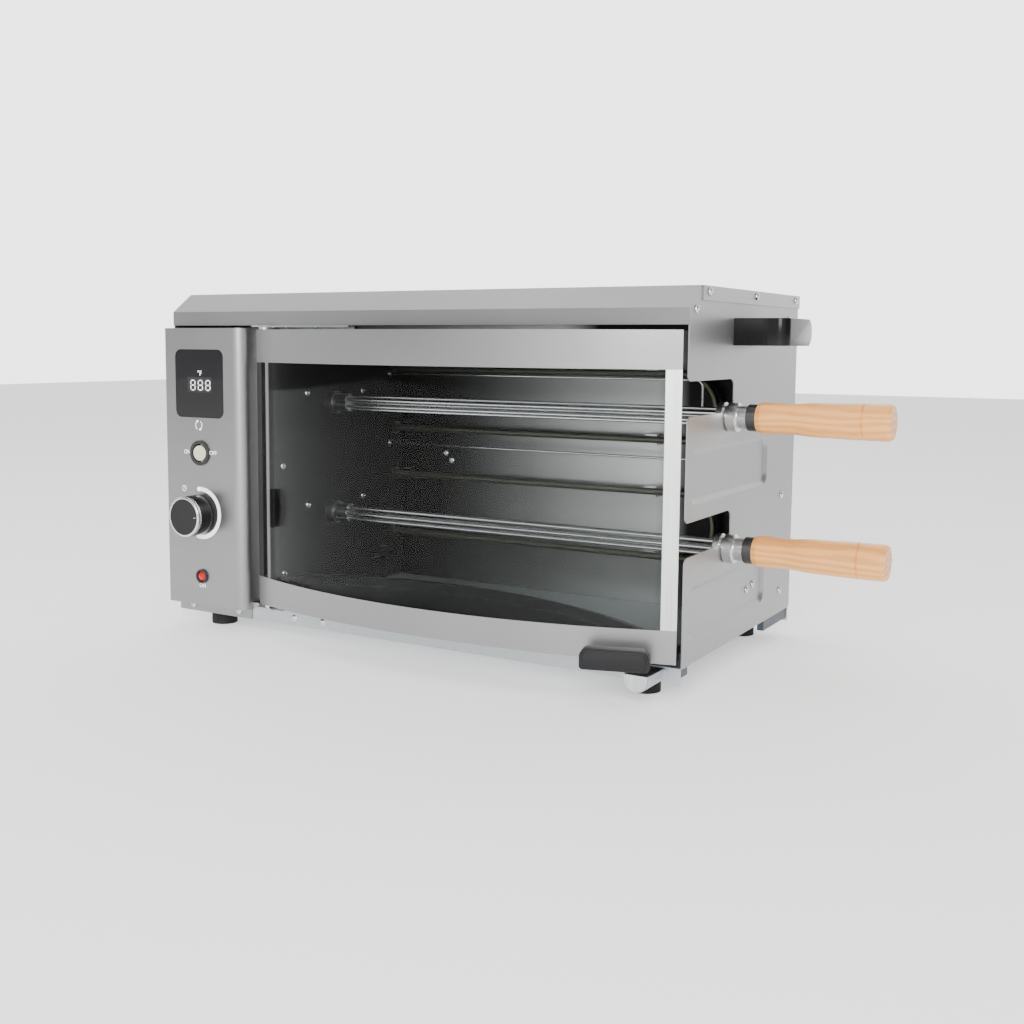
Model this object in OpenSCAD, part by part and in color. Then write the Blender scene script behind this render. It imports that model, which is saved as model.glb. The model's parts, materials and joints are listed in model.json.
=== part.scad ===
/* [Case] */
// Width of the case over the side panels
case_w = 533; // [525:1:560]
// Depth of the case from the side panels' front edge to the back
case_d = 272.5; // [266:0.5:310]
// Height of the case without its feet
case_h = 310; // [306:1:325]
// Thickness of the sheet metal
sheet = 1; // [0.8:0.1:1.2]
// Height of the cavity floor above the underside of the base
floor_h = 14; // [13.8:0.2:15]
// Depth of the slanted front of the cover
slant_d = 23.3; // [18:0.1:30]
// Height of the slanted front of the cover
slant_h = 17.5; // [14:0.5:19]
// Height of the cover's front lip under the slant
lip_h = 13; // [11:0.5:13.5]
// Height of the cover's folded side flange
flange_h = 11.6; // [9:0.1:14]
// Distance of the cavity's roof under the top of the case
roof_down = 25; // [22:0.5:27]
// Distance of the cavity's back wall behind the case's front edge
cavity_d = 212; // [208:0.5:225]
// Distance of the cavity's left wall from the case's left side
bay_w = 121.5; // [120:0.5:124]

/* [Feet] */
// Height of a rubber foot
foot_h = 13.5; // [10:0.5:18]
// Radius of a rubber foot
foot_r = 12.5; // [10:0.5:13]
// Distance of a foot's axis from the case's side
foot_side = 39.5; // [39.5:0.5:44]
// Distance of a foot's axis from the case's front and back
foot_end = 22; // [19:0.5:30]

/* [Control panel] */
// Distance that the control panel stands in front of the case
panel_out = 12.5; // [11:0.5:16]
// Width of the control panel with its bend
panel_w = 96.5; // [92:0.5:97]
// Radius of the bend at the panel's inner edge
panel_bend = 11; // [7:0.5:11.5]
// Height of the panel's lower edge above the base
panel_low = 9.8; // [8:0.1:12]
// Gap between the panel's top edge and the cover's lip
panel_gap = 2.5; // [2:0.1:5]
// Distance of the controls' centre line from the case's left side
dial_x = 43.5; // [42:0.5:46]
// Width of the display window
window_w = 61.4; // [50:0.1:63]
// Height of the display window
window_h = 65; // [50:0.5:68]
// Height of the window's centre, as a share of the case's height
window_share = 0.7235; // [0.71:0.0005:0.735]
// Height of the rotation switch's centre, as a share of the case's height
switch_share = 0.5097; // [0.495:0.001:0.525]
// Radius of the switch's bezel
switch_r = 12; // [11.5:0.1:13]
// Tilt of the rocker from one stop to the other
rocker_tilt = 12; // [8:1:14]
// Height of the timer knob's centre, as a share of the case's height
knob_share = 0.319; // [0.31:0.001:0.34]
// Radius of the timer knob
knob_r = 19.2; // [15:0.1:21]
// Length of the timer knob
knob_len = 19.4; // [16:0.1:26]
// Height of the signal lamp's centre, as a share of the case's height
lamp_share = 0.1235; // [0.11:0.0005:0.14]
// Radius of the signal lamp's bezel
lamp_r = 6.9; // [6.5:0.1:8]

/* [Door] */
// Distance of the door's left end from the case's left side
door_left = 107; // [106.5:0.5:109]
// Distance of the door's right end from the case's right side
door_right = 4; // [3.5:0.5:8]
// Distance that the door's middle stands in front of the case
door_bulge = 43; // [34:0.5:46]
// Distance that the door's ends stand in front of the case
door_end_out = 2.3; // [2:0.1:3]
// Height of the door's lower edge above the base
door_low = 17; // [16.8:0.1:19]
// Gap between the door's top edge and the cover's lip
door_gap = 4; // [3.8:0.1:6]
// Height of the lower band
lower_band_h = 27; // [24:0.5:34]
// Height of the upper band
upper_band_h = 30; // [26:0.5:36]
// Rise of the arched lower edge at the middle of the door
band_arch = 3.5; // [2:0.5:5]
// Depth of the folded edge of a band
band_d = 8; // [7.8:0.1:8.5]
// Thickness of the curved glass
glass_t = 4; // [3:0.5:4.5]
// Width of the door's right stile
stile_w = 12.5; // [10:0.5:18]
// Width of the door's left stile
left_stile_w = 8.5; // [7:0.5:10]
// Distance of the hinge axis from the door's left end
hinge_in = 10.2; // [9.8:0.1:10.5]
// Radius of a hinge pin
pin_r = 2; // [1.5:0.1:2.2]
// Length of the door handle
grip_w = 54; // [44:1:60]
// Height of the door handle
grip_h = 16.8; // [14:0.1:20]
// Depth of the door handle
grip_d = 14; // [11:0.5:16]
// Gap for the fingers between the door handle and the band
grip_gap = 12.5; // [11:0.5:16]
// Distance of the handle's middle from the door's right end
grip_in = 42.5; // [38:0.5:48]

/* [Skewers] */
// Distance of the skewers' axes behind the case's front edge
axis_y = 90; // [86:0.5:92]
// Height of the upper skewer's axis, as a share of the case's height
upper_share = 0.6629; // [0.655:0.001:0.67]
// Height of the lower skewer's axis, as a share of the case's height
lower_share = 0.3113; // [0.303:0.001:0.318]
// Radius of one skewer rod
rod_r = 1.5; // [1.2:0.1:1.7]
// Radius of the ring of rods
ring_r = 6.3; // [5.6:0.1:6.5]
// Radius of the collar's groove that turns in the side panel
groove_r = 9.5; // [9:0.1:9.8]
// Radius of the collar's flanges
collar_r = 12; // [11.2:0.1:12.5]
// Radius of the dark ferrule between collar and wood
ferrule_r = 11; // [9.8:0.1:12]
// Length of the wooden handle
wood_len = 106.2; // [90:0.1:130]
// Largest radius of the wooden handle
wood_r = 14.5; // [13.5:0.1:16.5]

/* [Side openings] */
// Depth of a skewer notch from the front edge
notch_d = 102; // [100:0.5:112]
// Height of a notch's lower edge above the skewer's axis
notch_low = 4; // [2:0.5:5]
// Height of a notch's upper edge above the skewer's axis
notch_top = 31; // [28:0.5:34]
// Radius of a notch's rounded corner
notch_r = 9; // [6:0.5:11]
// Depth of the pressed recesses
press_d = 2.5; // [1.5:0.1:3]
// Width of the bevel round a pressed recess
press_bevel = 4; // [3:0.5:6]
// Radius of a pressed recess's corners
press_r = 10; // [8:0.5:14]

/* [Heaters] */
// Radius of a heating element's tube
tube_r = 3.25; // [2.8:0.05:3.6]
// Half of the spacing between an element's two runs
element_half = 31; // [27:0.5:32]
// Distance of the lower element's middle under the lower skewer's axis
element_down = 2.5; // [0:0.5:4]
// Distance of the elements behind the case's front edge
element_y = 200; // [197:0.5:202]
// Reach of an element from the cavity's left wall
element_len = 363; // [320:0.5:380]
// Radius of the guard wire
wire_r = 1.3; // [1:0.1:1.6]
// Distance of the guard wire behind the case's front edge
wire_y = 189; // [182:0.5:191]

/* [Drip tray] */
// Depth of the drip tray
tray_h = 11; // [9:0.5:13]
// Distance of the drip tray's back edge behind the case's front edge
tray_back = 101; // [90:1:112]
// Radius of the drip tray's back edge
tray_back_r = 311; // [300:1:330]
// Slope of the drip tray down to the grease drawer
tray_tilt = 2.4; // [2:0.1:2.8]

/* [Grease drawer] */
// Radius of the half-round trough
trough_r = 10.65; // [9.6:0.05:10.8]
// Depth of the trough
trough_h = 13.6; // [12.6:0.1:13.7]
// Distance that the drawer stands in front of the case
trough_out = 30; // [22:0.5:34]
// Distance of the drawer's back end from the rear panel
trough_back = 32; // [28:0.5:60]
// Distance of the drawer's middle from the case's right side
trough_side = 25.5; // [25:0.1:26.2]

/* [Carry handles] */
// Distance that a carry handle stands out from the side
carry_out = 45; // [40:0.5:55]
// Height of a carry handle
carry_h = 22.4; // [20:0.1:26]
// Length of a carry handle
carry_len = 68; // [60:1:90]
// Distance of a carry handle behind the case's front edge
carry_y = 97; // [85:1:110]
// Distance of a carry handle's middle under the top of the case
carry_down = 35; // [32:0.5:40]
// Radius of a carry handle's front outer corner
carry_bend = 9; // [7:0.5:12]
// Radius of a carry handle's small corners
carry_round = 4; // [3:0.5:5]

/* [Hidden] */

$fn = 64;
// Gap between flat neighbours that are fastened together
seat = 0.1;
// Radial play of a part that turns in another
play = 0.08;
// Gap between parts that pass each other
pass = 0.4;
// Overrun of a cut past the face that it goes through
over = 1;

// Case lines, seen from the middle of the case's front edge at the base
half_w = case_w / 2;
skin_x = half_w - sheet - seat;
wall_x = bay_w - half_w;
lip_low = case_h - slant_h - lip_h;
roof_h = case_h - roof_down;
upper_z = upper_share * case_h;
lower_z = lower_share * case_h;
lower_element_z = lower_z - element_down;
slant_angle = atan(slant_h / (slant_d + sheet));
strip_top = floor_h + 2.3 * sheet;
post_y = 12 * sheet;
wall_y = post_y + sheet + seat;

// Controls
control_x = dial_x - half_w;
window_z = window_share * case_h;
switch_z = switch_share * case_h;
knob_z = knob_share * case_h;
lamp_z = lamp_share * case_h;
panel_face = -panel_out;
panel_right = panel_w - half_w;
panel_top = lip_low - panel_gap;
panel_back = post_y + 2 * sheet;

// Door arc through both ends and the middle of the bulge
door_x0 = door_left - half_w;
door_x1 = half_w - door_right;
door_mid = (door_x0 + door_x1) / 2;
door_half = (door_x1 - door_x0) / 2;
door_sag = door_bulge - door_end_out;
door_r = (door_half * door_half + door_sag * door_sag) / (2 * door_sag);
door_cy = door_r - door_bulge;
door_top = lip_low - door_gap;
door_phi = asin(door_half / door_r);
glass_r = door_r - sheet - pass / 2;
bush_r = door_r - band_d / 2;
pin_phi = -asin((door_half - hinge_in) / bush_r);
pin_x = door_mid + bush_r * sin(pin_phi);
pin_y = door_cy - bush_r * cos(pin_phi);
grip_phi = asin((door_half - grip_in) / door_r);

// Skewer places along X
groove_w = 3 * sheet + pass;
flange_t = 5.5;
disc_t = 8.5;
collar_in = half_w - sheet / 2 - groove_w / 2 - flange_t;
collar_out = 17.6;
ferrule_len = 8.2;
ferrule_x = half_w + collar_out;
wood_x = ferrule_x + ferrule_len;
skewer_end = wood_x + wood_len;
rod_sink = 3;
tang_r = 5;
tang_len = 40;
hub_ring_len = 8.5;
hub_len = 15;
hub_x = wall_x + hub_ring_len;
hub_end = hub_x + hub_len;
hub_wall = 1;
hub_r = ring_r + rod_r + hub_wall;
ring_outer_r = 11.2;
shank_r = 5;
shank_len = 16;
rod_plug = 10;

// Drip tray
tray_front_gap = 5;
tray_front_r = door_r - band_d - tray_front_gap;
tray_back_cy = tray_back - tray_back_r;
tray_in_left = 7;
tray_in_right = 14;
tray_x0 = wall_x + tray_in_left;
tray_x1 = half_w - tray_in_right;
tray_seat_z = floor_h + 3 * seat;
tray_wall = 0.8;
rim_h = 2.2;
rim_proud = 0.3;

// Grease drawer
trough_x = half_w - trough_side;
trough_under = 0.7;
trough_top = floor_h - sheet - trough_under;
trough_cz = trough_top - trough_h + trough_r;
trough_wall = 0.8;
trough_y1 = case_d - trough_back;
ledge_w = 3.1;
ledge_y0 = 3;
web_t = sheet;

// Reach of the whole grill past its case, which centres its frame
grip_front_r = door_r + grip_gap + grip_d;
grip_reach = grip_front_r * cos(grip_phi) + grip_w / 2 * sin(grip_phi) - door_cy;
front_reach = max(grip_reach, panel_out + knob_len);
gland_out = 4;
frame_x = (half_w + carry_out - skewer_end) / 2;
frame_y = (front_reach - case_d - gland_out) / 2;

// Everything is drawn from the middle of the case's front edge, at the underside of the base
module at_frame() {
    translate([frame_x, frame_y, foot_h]) children();
}

// Box between two corners
module box(low, high) {
    translate(low) cube(high - low);
}

// Round bars along each axis
module bar_x(r, x0, x1, y, z) {
    translate([x0, y, z]) rotate([0, 90, 0]) cylinder(r = r, h = x1 - x0);
}

module bar_y(r, y0, y1, x, z) {
    translate([x, y1, z]) rotate([90, 0, 0]) cylinder(r = r, h = y1 - y0);
}

module bar_z(r, z0, z1, x, y) {
    translate([x, y, z0]) cylinder(r = r, h = z1 - z0);
}

// An outline in Y and Z, made as thick as the span from x0 to x1
module side_slab(x0, x1) {
    translate([x0, 0, 0]) rotate([90, 0, 90]) linear_extrude(x1 - x0) children();
}

// An outline in X and Z, made as thick as the span from y0 to y1
module front_slab(y0, y1) {
    translate([0, y1, 0]) rotate([90, 0, 0]) linear_extrude(y1 - y0) children();
}

// An outline in X and Y, made as thick as the span from z0 to z1
module flat_slab(z0, z1) {
    translate([0, 0, z0]) linear_extrude(z1 - z0) children();
}

// Rectangle with round corners between two corners
module round_rect(low, high, r) {
    translate(low + [r, 0]) square(high - low - [2 * r, 0]);
    translate(low + [0, r]) square(high - low - [0, 2 * r]);
    for (x = [low.x + r, high.x - r], y = [low.y + r, high.y - r]) translate([x, y]) circle(r);
}

// A wall profile swept round a rounded rectangle; the profile's x runs outwards from its edge
module swept_rect(size, r, profile) {
    for (turn = [0:3]) {
        along = size[turn % 2] / 2 - r;
        out = size[(turn + 1) % 2] / 2 - r;
        rotate([0, 0, 90 * turn]) translate([0, -out, 0]) {
            rotate([90, 0, -90]) linear_extrude(2 * along, center = true)
                translate([r, 0]) polygon(profile);
            translate([along, 0, 0]) rotate([0, 0, -90]) rotate_extrude(angle = 90)
                translate([r, 0]) polygon(profile);
        }
    }
}

// The bevelled wall and the floor of a recess pressed into a side panel, from its outer face
module pressed_pan(low, high) {
    wall = [[0, 0], [-press_bevel, -press_d], [-press_bevel, -press_d - sheet], [0, -sheet]];
    inner = [press_bevel, press_bevel];
    translate(concat((low + high) / 2, [0])) swept_rect(high - low, press_r, wall);
    translate([0, 0, -press_d - sheet]) linear_extrude(sheet)
        round_rect(low + inner, high - inner, press_r - press_bevel);
}

// Corners of the two recesses of a side panel, as Y and Z
press_front = 11;
press_behind = 18;
press_over_notch = 13;
press_under_upper = 22;
press_over_floor = 19;
press_under_lower = 21;
press_rear = cavity_d - press_behind;
upper_press = [[press_front, lower_z + notch_top + press_over_notch],
    [press_rear, upper_z - press_under_upper]];
lower_press = [[press_front, floor_h + press_over_floor],
    [press_rear, lower_z - press_under_lower]];

// Line of the cover at a depth t below its outer face, as Y and Z
function cover_line(t) = [
    [t - sheet, lip_low],
    [t - sheet, lip_low + lip_h - t * (1 - sin(slant_angle)) / cos(slant_angle)],
    [slant_d + t * (1 - cos(slant_angle)) / sin(slant_angle), case_h - t]];

// Outline of a side panel under the cover, as Y and Z
module side_outline() {
    under = sheet + seat;
    polygon(concat([[case_d, case_h - under], [case_d, floor_h], [seat, floor_h]], cover_line(under)));
}

// Notch for one skewer with its half-round seat, as Y and Z
mouth_r = 5;
module skewer_notch(z) {
    low = z + notch_low;
    high = z + notch_top;
    round_rect([-2 * notch_r, low], [notch_d, high], notch_r);
    translate([axis_y, z]) circle(groove_r + play);
    translate([axis_y - groove_r - play, z]) square([2 * (groove_r + play), notch_low + over]);
    for (edge = [[low, -1], [high, 1]]) difference() {
        translate([-over, edge[1] > 0 ? edge[0] - over : edge[0] - mouth_r])
            square([mouth_r + over + seat, mouth_r + over]);
        translate([mouth_r + seat, edge[0] + edge[1] * mouth_r]) circle(mouth_r);
    }
}

// Places of the screws in a side panel, as shares of the case's depth and height
panel_screw_shares = [[0.05, 0.94], [0.9, 0.927], [0.873, 0.405], [0.884, 0.1135]];
flange_screw_shares = [0.14, 0.55, 0.96];
recess_screw_shares = [[0.565, 0.162], [0.624, 0.17]];
screw_r = 1.6;
head_r = 3.3;
head_h = 1.8;
screw_len = 6;
flange_screw_z = case_h - 0.4 * flange_h;

// A pan-head screw that points down, with its head above zero
module pan_screw() {
    cap = [for (a = [0:18:90]) [head_r * cos(a), head_h * (0.3 + 0.7 * sin(a))]];
    shank = [[0, -screw_len], [screw_r, -screw_len], [screw_r, 0]];
    rotate_extrude() polygon(concat(shank, [[head_r, 0]], cap));
}

// A flat rivet head with its shank, pointing down
rivet_r = 3.6;
module rivet() {
    cap = [for (a = [0:18:90]) [rivet_r * cos(a), sheet * (0.2 + 0.8 * sin(a))]];
    stem = -sheet - seat - bracket_t;
    rotate_extrude() polygon(concat([[0, stem], [screw_r, stem], [screw_r, 0], [rivet_r, 0]], cap));
}

// Hands on each screw place of the side panels; side is 1 on the right and -1 on the left
module at_side_screws(side) {
    for (s = panel_screw_shares) at_side(side, half_w, s.x * case_d, s.y * case_h) children();
}

module at_flange_screws(side) {
    for (s = flange_screw_shares)
        at_side(side, half_w + seat + sheet, s * case_d, flange_screw_z) children();
}

module at_recess_screws() {
    for (s = recess_screw_shares)
        at_side(1, half_w - press_d, s.x * case_d, s.y * case_h) children();
}

module at_side(side, x, y, z) {
    translate([side * x, y, z]) rotate([0, side * 90, 0]) children();
}

module at_front(x, y, z) {
    translate([x, y, z]) rotate([90, 0, 0]) children();
}

// Clearance hole for a screw, along the screw
module screw_hole() {
    translate([0, 0, -screw_len - over]) cylinder(r = screw_r + seat, h = screw_len + 3 * over);
}

// Places along the base's front strip
bracket_t = 1.5;
arm_w = 20;
arm_gap = 0.3;
arm_low_z = floor_h - bracket_t / 2;
arm_high_z = door_top + arm_gap;
slot_left = 13.7;
slot_w = 32;
slot_r = 1.8;
slot_x0 = pin_x - slot_left;
slot_x1 = slot_x0 + slot_w;
apron_screw_left = 20.5;
apron_screw_step = 59;
apron_screw_z = panel_low - head_r - arm_gap;
lower_rivet_in = 29.6;
lower_rivet_step = 33.3;
lower_rivet_x = [pin_x + lower_rivet_in, pin_x + lower_rivet_in + lower_rivet_step];
upper_rivet_in = 20.8;
upper_rivet_step = 34.7;
upper_rivet_x = [pin_x + upper_rivet_in, pin_x + upper_rivet_in + upper_rivet_step];
upper_rivet_y = 4.2;
upper_plate_z = lip_low - seat - bracket_t;
lip_return = 10;
leg_back = lip_return - sheet / 2;
plate_end = 95;
strip_step_in = 75;
strip_step = pin_x + strip_step_in;

module at_lower_rivets() {
    for (x = lower_rivet_x) at_front(x, 0, floor_h / 2) children();
}

module at_upper_rivets() {
    for (x = upper_rivet_x) translate([x, upper_rivet_y, upper_plate_z]) rotate([180, 0, 0]) children();
}

module at_apron_screws() {
    for (d = [apron_screw_left, apron_screw_left + apron_screw_step])
        at_front(d - half_w, -sheet, apron_screw_z) children();
}

// Feet
rail_w = 25;
rail_t = 1.2;
rail_edge = 3.2;
rail_lip = 5.8;
foot_neck_r = 0.6 * foot_r;
foot_recess = 3;

module at_feet() {
    for (x = [-1, 1], y = [foot_end, case_d - foot_end])
        translate([x * (half_w - foot_side), y, 0]) children();
}

module base_pan() {
    rest_x = tray_x0 + rest_in;
    color("lightslategray") at_frame() {
        difference() {
            union() {
                box([-skin_x, 0, floor_h - sheet], [skin_x, case_d, floor_h]);
                box([-skin_x, 0, 0], [strip_step, sheet, strip_top]);
                box([-skin_x, 0, 0], [skin_x, sheet, floor_h]);
                box([-skin_x, case_d - sheet, 0], [skin_x, case_d, floor_h]);
                for (x = [-skin_x, skin_x - sheet])
                    box([x, post_y + 3 * sheet, floor_h - sheet],
                        [x + sheet, case_d - post_y, floor_h + 8 * sheet]);
            }
            // Opening for the drawer, with room for its ledges
            box([trough_x - trough_r - 2 * pass, -over, -over],
                [trough_x + trough_r + 2 * pass, sheet + over, floor_h - sheet]);
            box([trough_x - trough_r - ledge_w - pass, -over, trough_top - 2 * pass - trough_wall],
                [trough_x + trough_r + ledge_w + pass, sheet + over, floor_h - sheet]);
            // Drain slot over the trough
            box([trough_x - trough_r / 2, 2 * ledge_y0, floor_h - 2 * sheet],
                [trough_x + trough_r / 2, cavity_d - 4 * ledge_y0, floor_h + over]);
            // Notch for the hinge bracket's arm, open at the strip's top
            for (x = [slot_x0 + slot_r, slot_x1 - slot_r])
                bar_y(slot_r, -over, 3 * bracket_t, x, arm_low_z + bracket_t / 2);
            box([slot_x0 + slot_r, -over, arm_low_z + bracket_t / 2 - slot_r],
                [slot_x1 - slot_r, 3 * bracket_t, strip_top + over]);
            box([slot_x0, -over, arm_low_z + bracket_t / 2], [slot_x1, 3 * bracket_t, strip_top + over]);
            at_lower_rivets() screw_hole();
            at_apron_screws() screw_hole();
        }
        // Bracket that carries the tray's raised end
        difference() {
            front_slab(rest_y0, rest_y1) polygon([[rest_x, floor_h - sheet / 2],
                [rest_x + rest_w, floor_h - sheet / 2], [rest_x + rest_w, tray_under(rest_x + rest_w)],
                [rest_x, tray_under(rest_x)]]);
            box([rest_x + sheet, rest_y0 - over, floor_h],
                [rest_x + rest_w - sheet, rest_y1 + over, tray_under(rest_x + rest_w) - sheet]);
        }
    }
}
rest_y0 = 20;
rest_y1 = 60;
rest_w = 12;
rest_in = 30;

// Height just below the sloping tray
function tray_under(x) = tray_seat_z + (tray_x1 - x) * tan(tray_tilt) - seat;

module base_rails() {
    color("dimgray") at_frame() {
        difference() {
            for (side = [0, 1]) mirror([side, 0, 0]) translate([half_w - foot_side + rail_edge, 0, 0]) {
                box([-rail_w, 4 * rail_t, 0], [0, case_d - 4 * rail_t, rail_t]);
                for (x = [-rail_w, -rail_lip - rail_t])
                    box([x, 4 * rail_t, 0], [x + rail_t, case_d - 4 * rail_t, floor_h - sheet - seat]);
            }
            at_feet() cylinder(r = screw_r + seat, h = 3 * rail_t, center = true);
        }
        // Corner brackets under the right side
        box([skin_x - 7 * sheet, cavity_d - 8 * sheet, 3 * sheet],
            [skin_x - sheet, case_d - 2 * sheet, floor_h - sheet - seat]);
        box([skin_x - 4 * sheet, sheet + seat, 6 * sheet],
            [skin_x - sheet, post_y + 5 * sheet, floor_h - sheet - seat]);
    }
}

module rubber_feet() {
    neck = foot_h / 4;
    color("black") at_frame() at_feet() difference() {
        translate([0, 0, -foot_h]) rotate_extrude() polygon([[0, 0], [foot_r - seat, 0], [foot_r, seat],
            [foot_r, foot_h - neck], [foot_neck_r, foot_h], [0, foot_h]]);
        translate([0, 0, -foot_h - over]) cylinder(r = head_r + pass, h = foot_recess + over);
        cylinder(r = screw_r + seat, h = 3 * foot_h, center = true);
    }
}

// Upright vent slots in a plate, as an outline: columns across and rows up
vent_w = 4;
vent_len = 24;
vent_step = 12;
vent_rise = 38.4;
module vent_slots(low, columns, rows) {
    for (i = [0:columns - 1], j = [0:rows - 1])
        translate(low + [i * vent_step, j * vent_rise]) {
            translate([0, vent_w / 2]) square([vent_w, vent_len - vent_w]);
            for (y = [vent_w / 2, vent_len - vent_w / 2]) translate([vent_w / 2, y]) circle(vent_w / 2);
        }
}

// Screws that hold a carry handle, as offsets along the side
carry_z = case_h - carry_down;
carry_screw = carry_len / 2 - 4 * head_r;
module at_carry_screws(side) {
    for (y = [-carry_screw, carry_screw])
        at_side(-side, -half_w + sheet, carry_y + carry_len / 2 + y, carry_z) children();
}

module side_panel(side) {
    x0 = side > 0 ? half_w - sheet : -half_w;
    difference() {
        side_slab(x0, x0 + sheet) difference() {
            side_outline();
            round_rect(upper_press[0], upper_press[1], press_r);
            round_rect(lower_press[0], lower_press[1], press_r);
            if (side > 0) {
                skewer_notch(upper_z);
                skewer_notch(lower_z);
            } else {
                vent_slots([slant_d * 2, carry_z - vent_rise - vent_len - 2 * head_r], 9, 2);
            }
        }
        at_side_screws(side) screw_hole();
        at_flange_screws(side) screw_hole();
        at_carry_screws(side) screw_hole();
    }
    difference() {
        translate([side * half_w, 0, 0]) mirror([side > 0 ? 0 : 1, 0, 0]) rotate([90, 0, 90]) {
            pressed_pan(upper_press[0], upper_press[1]);
            pressed_pan(lower_press[0], lower_press[1]);
        }
        if (side > 0) at_recess_screws() screw_hole();
    }
}
module left_side_panel() {
    color("gainsboro") at_frame() side_panel(-1);
}

module right_side_panel() {
    color("gainsboro") at_frame() side_panel(1);
}

// The gland that the mains cord would use, low in the rear panel
gland_in = 36;
gland_up = 26;
gland_x = gland_in - half_w;
gland_z = floor_h + gland_up;
gland_r = 8;
gland_flange_r = 11.5;

module rear_panel() {
    color("gainsboro") at_frame() {
        front_slab(case_d - sheet, case_d) difference() {
            translate([-skin_x, floor_h + seat])
                square([2 * skin_x, case_h - sheet - 2 * seat - floor_h]);
            translate([gland_x, gland_z]) circle(gland_r + seat);
            vent_slots([-skin_x + 4 * vent_step, upper_z - vent_len], 30, 2);
            vent_slots([-skin_x + 9 * vent_step, lower_z - vent_len], 25, 1);
        }
        for (x = [-skin_x, skin_x - sheet])
            box([x, case_d - 8 * sheet, floor_h + seat], [x + sheet, case_d, case_h - sheet - seat - over]);
    }
}

module top_cover() {
    top_x = half_w + seat + sheet;
    outer = cover_line(0);
    inner = cover_line(sheet);
    color("silver") at_frame() difference() {
        union() {
            side_slab(-half_w, half_w) polygon(concat(outer, [[case_d + sheet, case_h],
                [case_d + sheet, case_h - sheet]], [inner[2], inner[1], inner[0]]));
            box([-top_x, slant_d + sheet, case_h - sheet], [top_x, case_d + sheet, case_h]);
            for (x = [-top_x, top_x - sheet])
                box([x, slant_d + 2 * sheet, case_h - flange_h], [x + sheet, case_d + sheet, case_h]);
            // Lip's folded lower edge
            box([2 * sheet - skin_x, -sheet, lip_low], [skin_x - 2 * sheet, lip_return, lip_low + sheet]);
        }
        for (side = [-1, 1]) at_flange_screws(side) screw_hole();
        at_upper_rivets() screw_hole();
    }
}

// Plan of the control column, set in from its faces by t
module panel_plan(t, back) {
    translate([-half_w + t, panel_face + t])
        square([panel_w - panel_bend - t, back - panel_face - t]);
    translate([panel_right - panel_bend - t, panel_face + panel_bend])
        square([panel_bend, back - panel_face - panel_bend]);
    translate([panel_right - panel_bend, panel_face + panel_bend]) circle(panel_bend - t);
}

module control_panel() {
    tongue_right = panel_right - sheet;
    color("silver") at_frame() difference() {
        union() {
            difference() {
                flat_slab(panel_low, panel_top) difference() {
                    panel_plan(0, panel_back);
                    panel_plan(sheet, panel_back + over);
                    translate([-half_w - over, 0]) square([panel_w - sheet, panel_back + over]);
                }
                box([panel_right - 2 * sheet, -seat, panel_low - over],
                    [panel_right + over, panel_back + over, strip_top + seat]);
            }
            for (z = [panel_low, panel_top - sheet]) flat_slab(z, z + sheet) intersection() {
                panel_plan(0, 0);
                translate([-half_w, panel_face]) square([panel_w, panel_out]);
            }
            box([-half_w + 3 * sheet, -sheet, seat], [tongue_right, 0, panel_low + sheet]);
        }
        front_slab(panel_face - over, panel_face + 2 * sheet)
            round_rect([control_x - window_w / 2, window_z - window_h / 2],
                [control_x + window_w / 2, window_z + window_h / 2], window_corner);
        bar_y(barrel_r + seat, panel_face - over, panel_face + 2 * sheet, control_x, switch_z);
        bar_y(shaft_r + 2 * seat, panel_face - over, panel_face + 2 * sheet, control_x, knob_z);
        bar_y(lamp_barrel_r + seat, panel_face - over, panel_face + 2 * sheet, control_x, lamp_z);
        at_apron_screws() screw_hole();
    }
}

// Motor places on the cavity's left wall; a motor's shaft is off its centre
motor_dy = 7.5;
motor_dz = 10;
motor_ear = 44.5;
motor_r = 30;
motor_t = 20;
post_screw_down = 52;
post_screw_up = 51;
probe_up = 29;
probe_y = 175;
probe_z = floor_h + probe_up;
probe_r = 3;
probe_front = 26;
probe_rear = 12;
probe_clip = 4;

module at_motor_screws() {
    for (z = [upper_z, lower_z], y = [-motor_ear, motor_ear])
        at_side(1, wall_x, axis_y + motor_dy + y, z + motor_dz) children();
}

module at_post_screws() {
    for (z = [lower_z - post_screw_down, lower_z + post_screw_up])
        at_side(1, wall_x, wall_y + head_r + seat, z) children();
}

// Heights of the four element runs
run_z = [upper_z + element_half, upper_z - element_half,
    lower_element_z + element_half, lower_element_z - element_half];

module partition_wall() {
    color("silver") at_frame() difference() {
        box([wall_x - sheet, wall_y, floor_h + seat], [wall_x, cavity_d - seat, roof_h - seat]);
        for (z = [upper_z, lower_z]) bar_x(shank_r + pass, wall_x - 2 * sheet, wall_x + over, axis_y, z);
        for (z = run_z) bar_x(tube_r + seat, wall_x - 2 * sheet, wall_x + over, element_y, z);
        at_motor_screws() screw_hole();
        at_post_screws() screw_hole();
    }
}

module hinge_post() {
    back_x = wall_x - sheet - seat;
    color("darkgray") at_frame() difference() {
        union() {
            box([panel_right + seat, post_y, strip_top + seat], [wall_x, post_y + sheet, panel_top + sheet]);
            box([back_x - sheet, post_y, strip_top + seat],
                [back_x, post_y + 14 * sheet, panel_top + sheet]);
        }
        at_post_screws() screw_hole();
    }
}

// Two small screws of the cavity's back wall, from its left end and the lower skewer's axis
back_screw_in = 57.6;
back_screw_up = 52;
back_screw_step = 7.2;
module at_back_screws() {
    for (d = [0, back_screw_step])
        at_front(wall_x + back_screw_in + d, cavity_d, lower_z + back_screw_up - d) children();
}

module cavity_back() {
    color("gainsboro") at_frame() difference() {
        box([wall_x - sheet, cavity_d, floor_h + seat],
            [skin_x - sheet - seat, cavity_d + sheet, roof_h - seat]);
        at_back_screws() screw_hole();
    }
}

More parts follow.
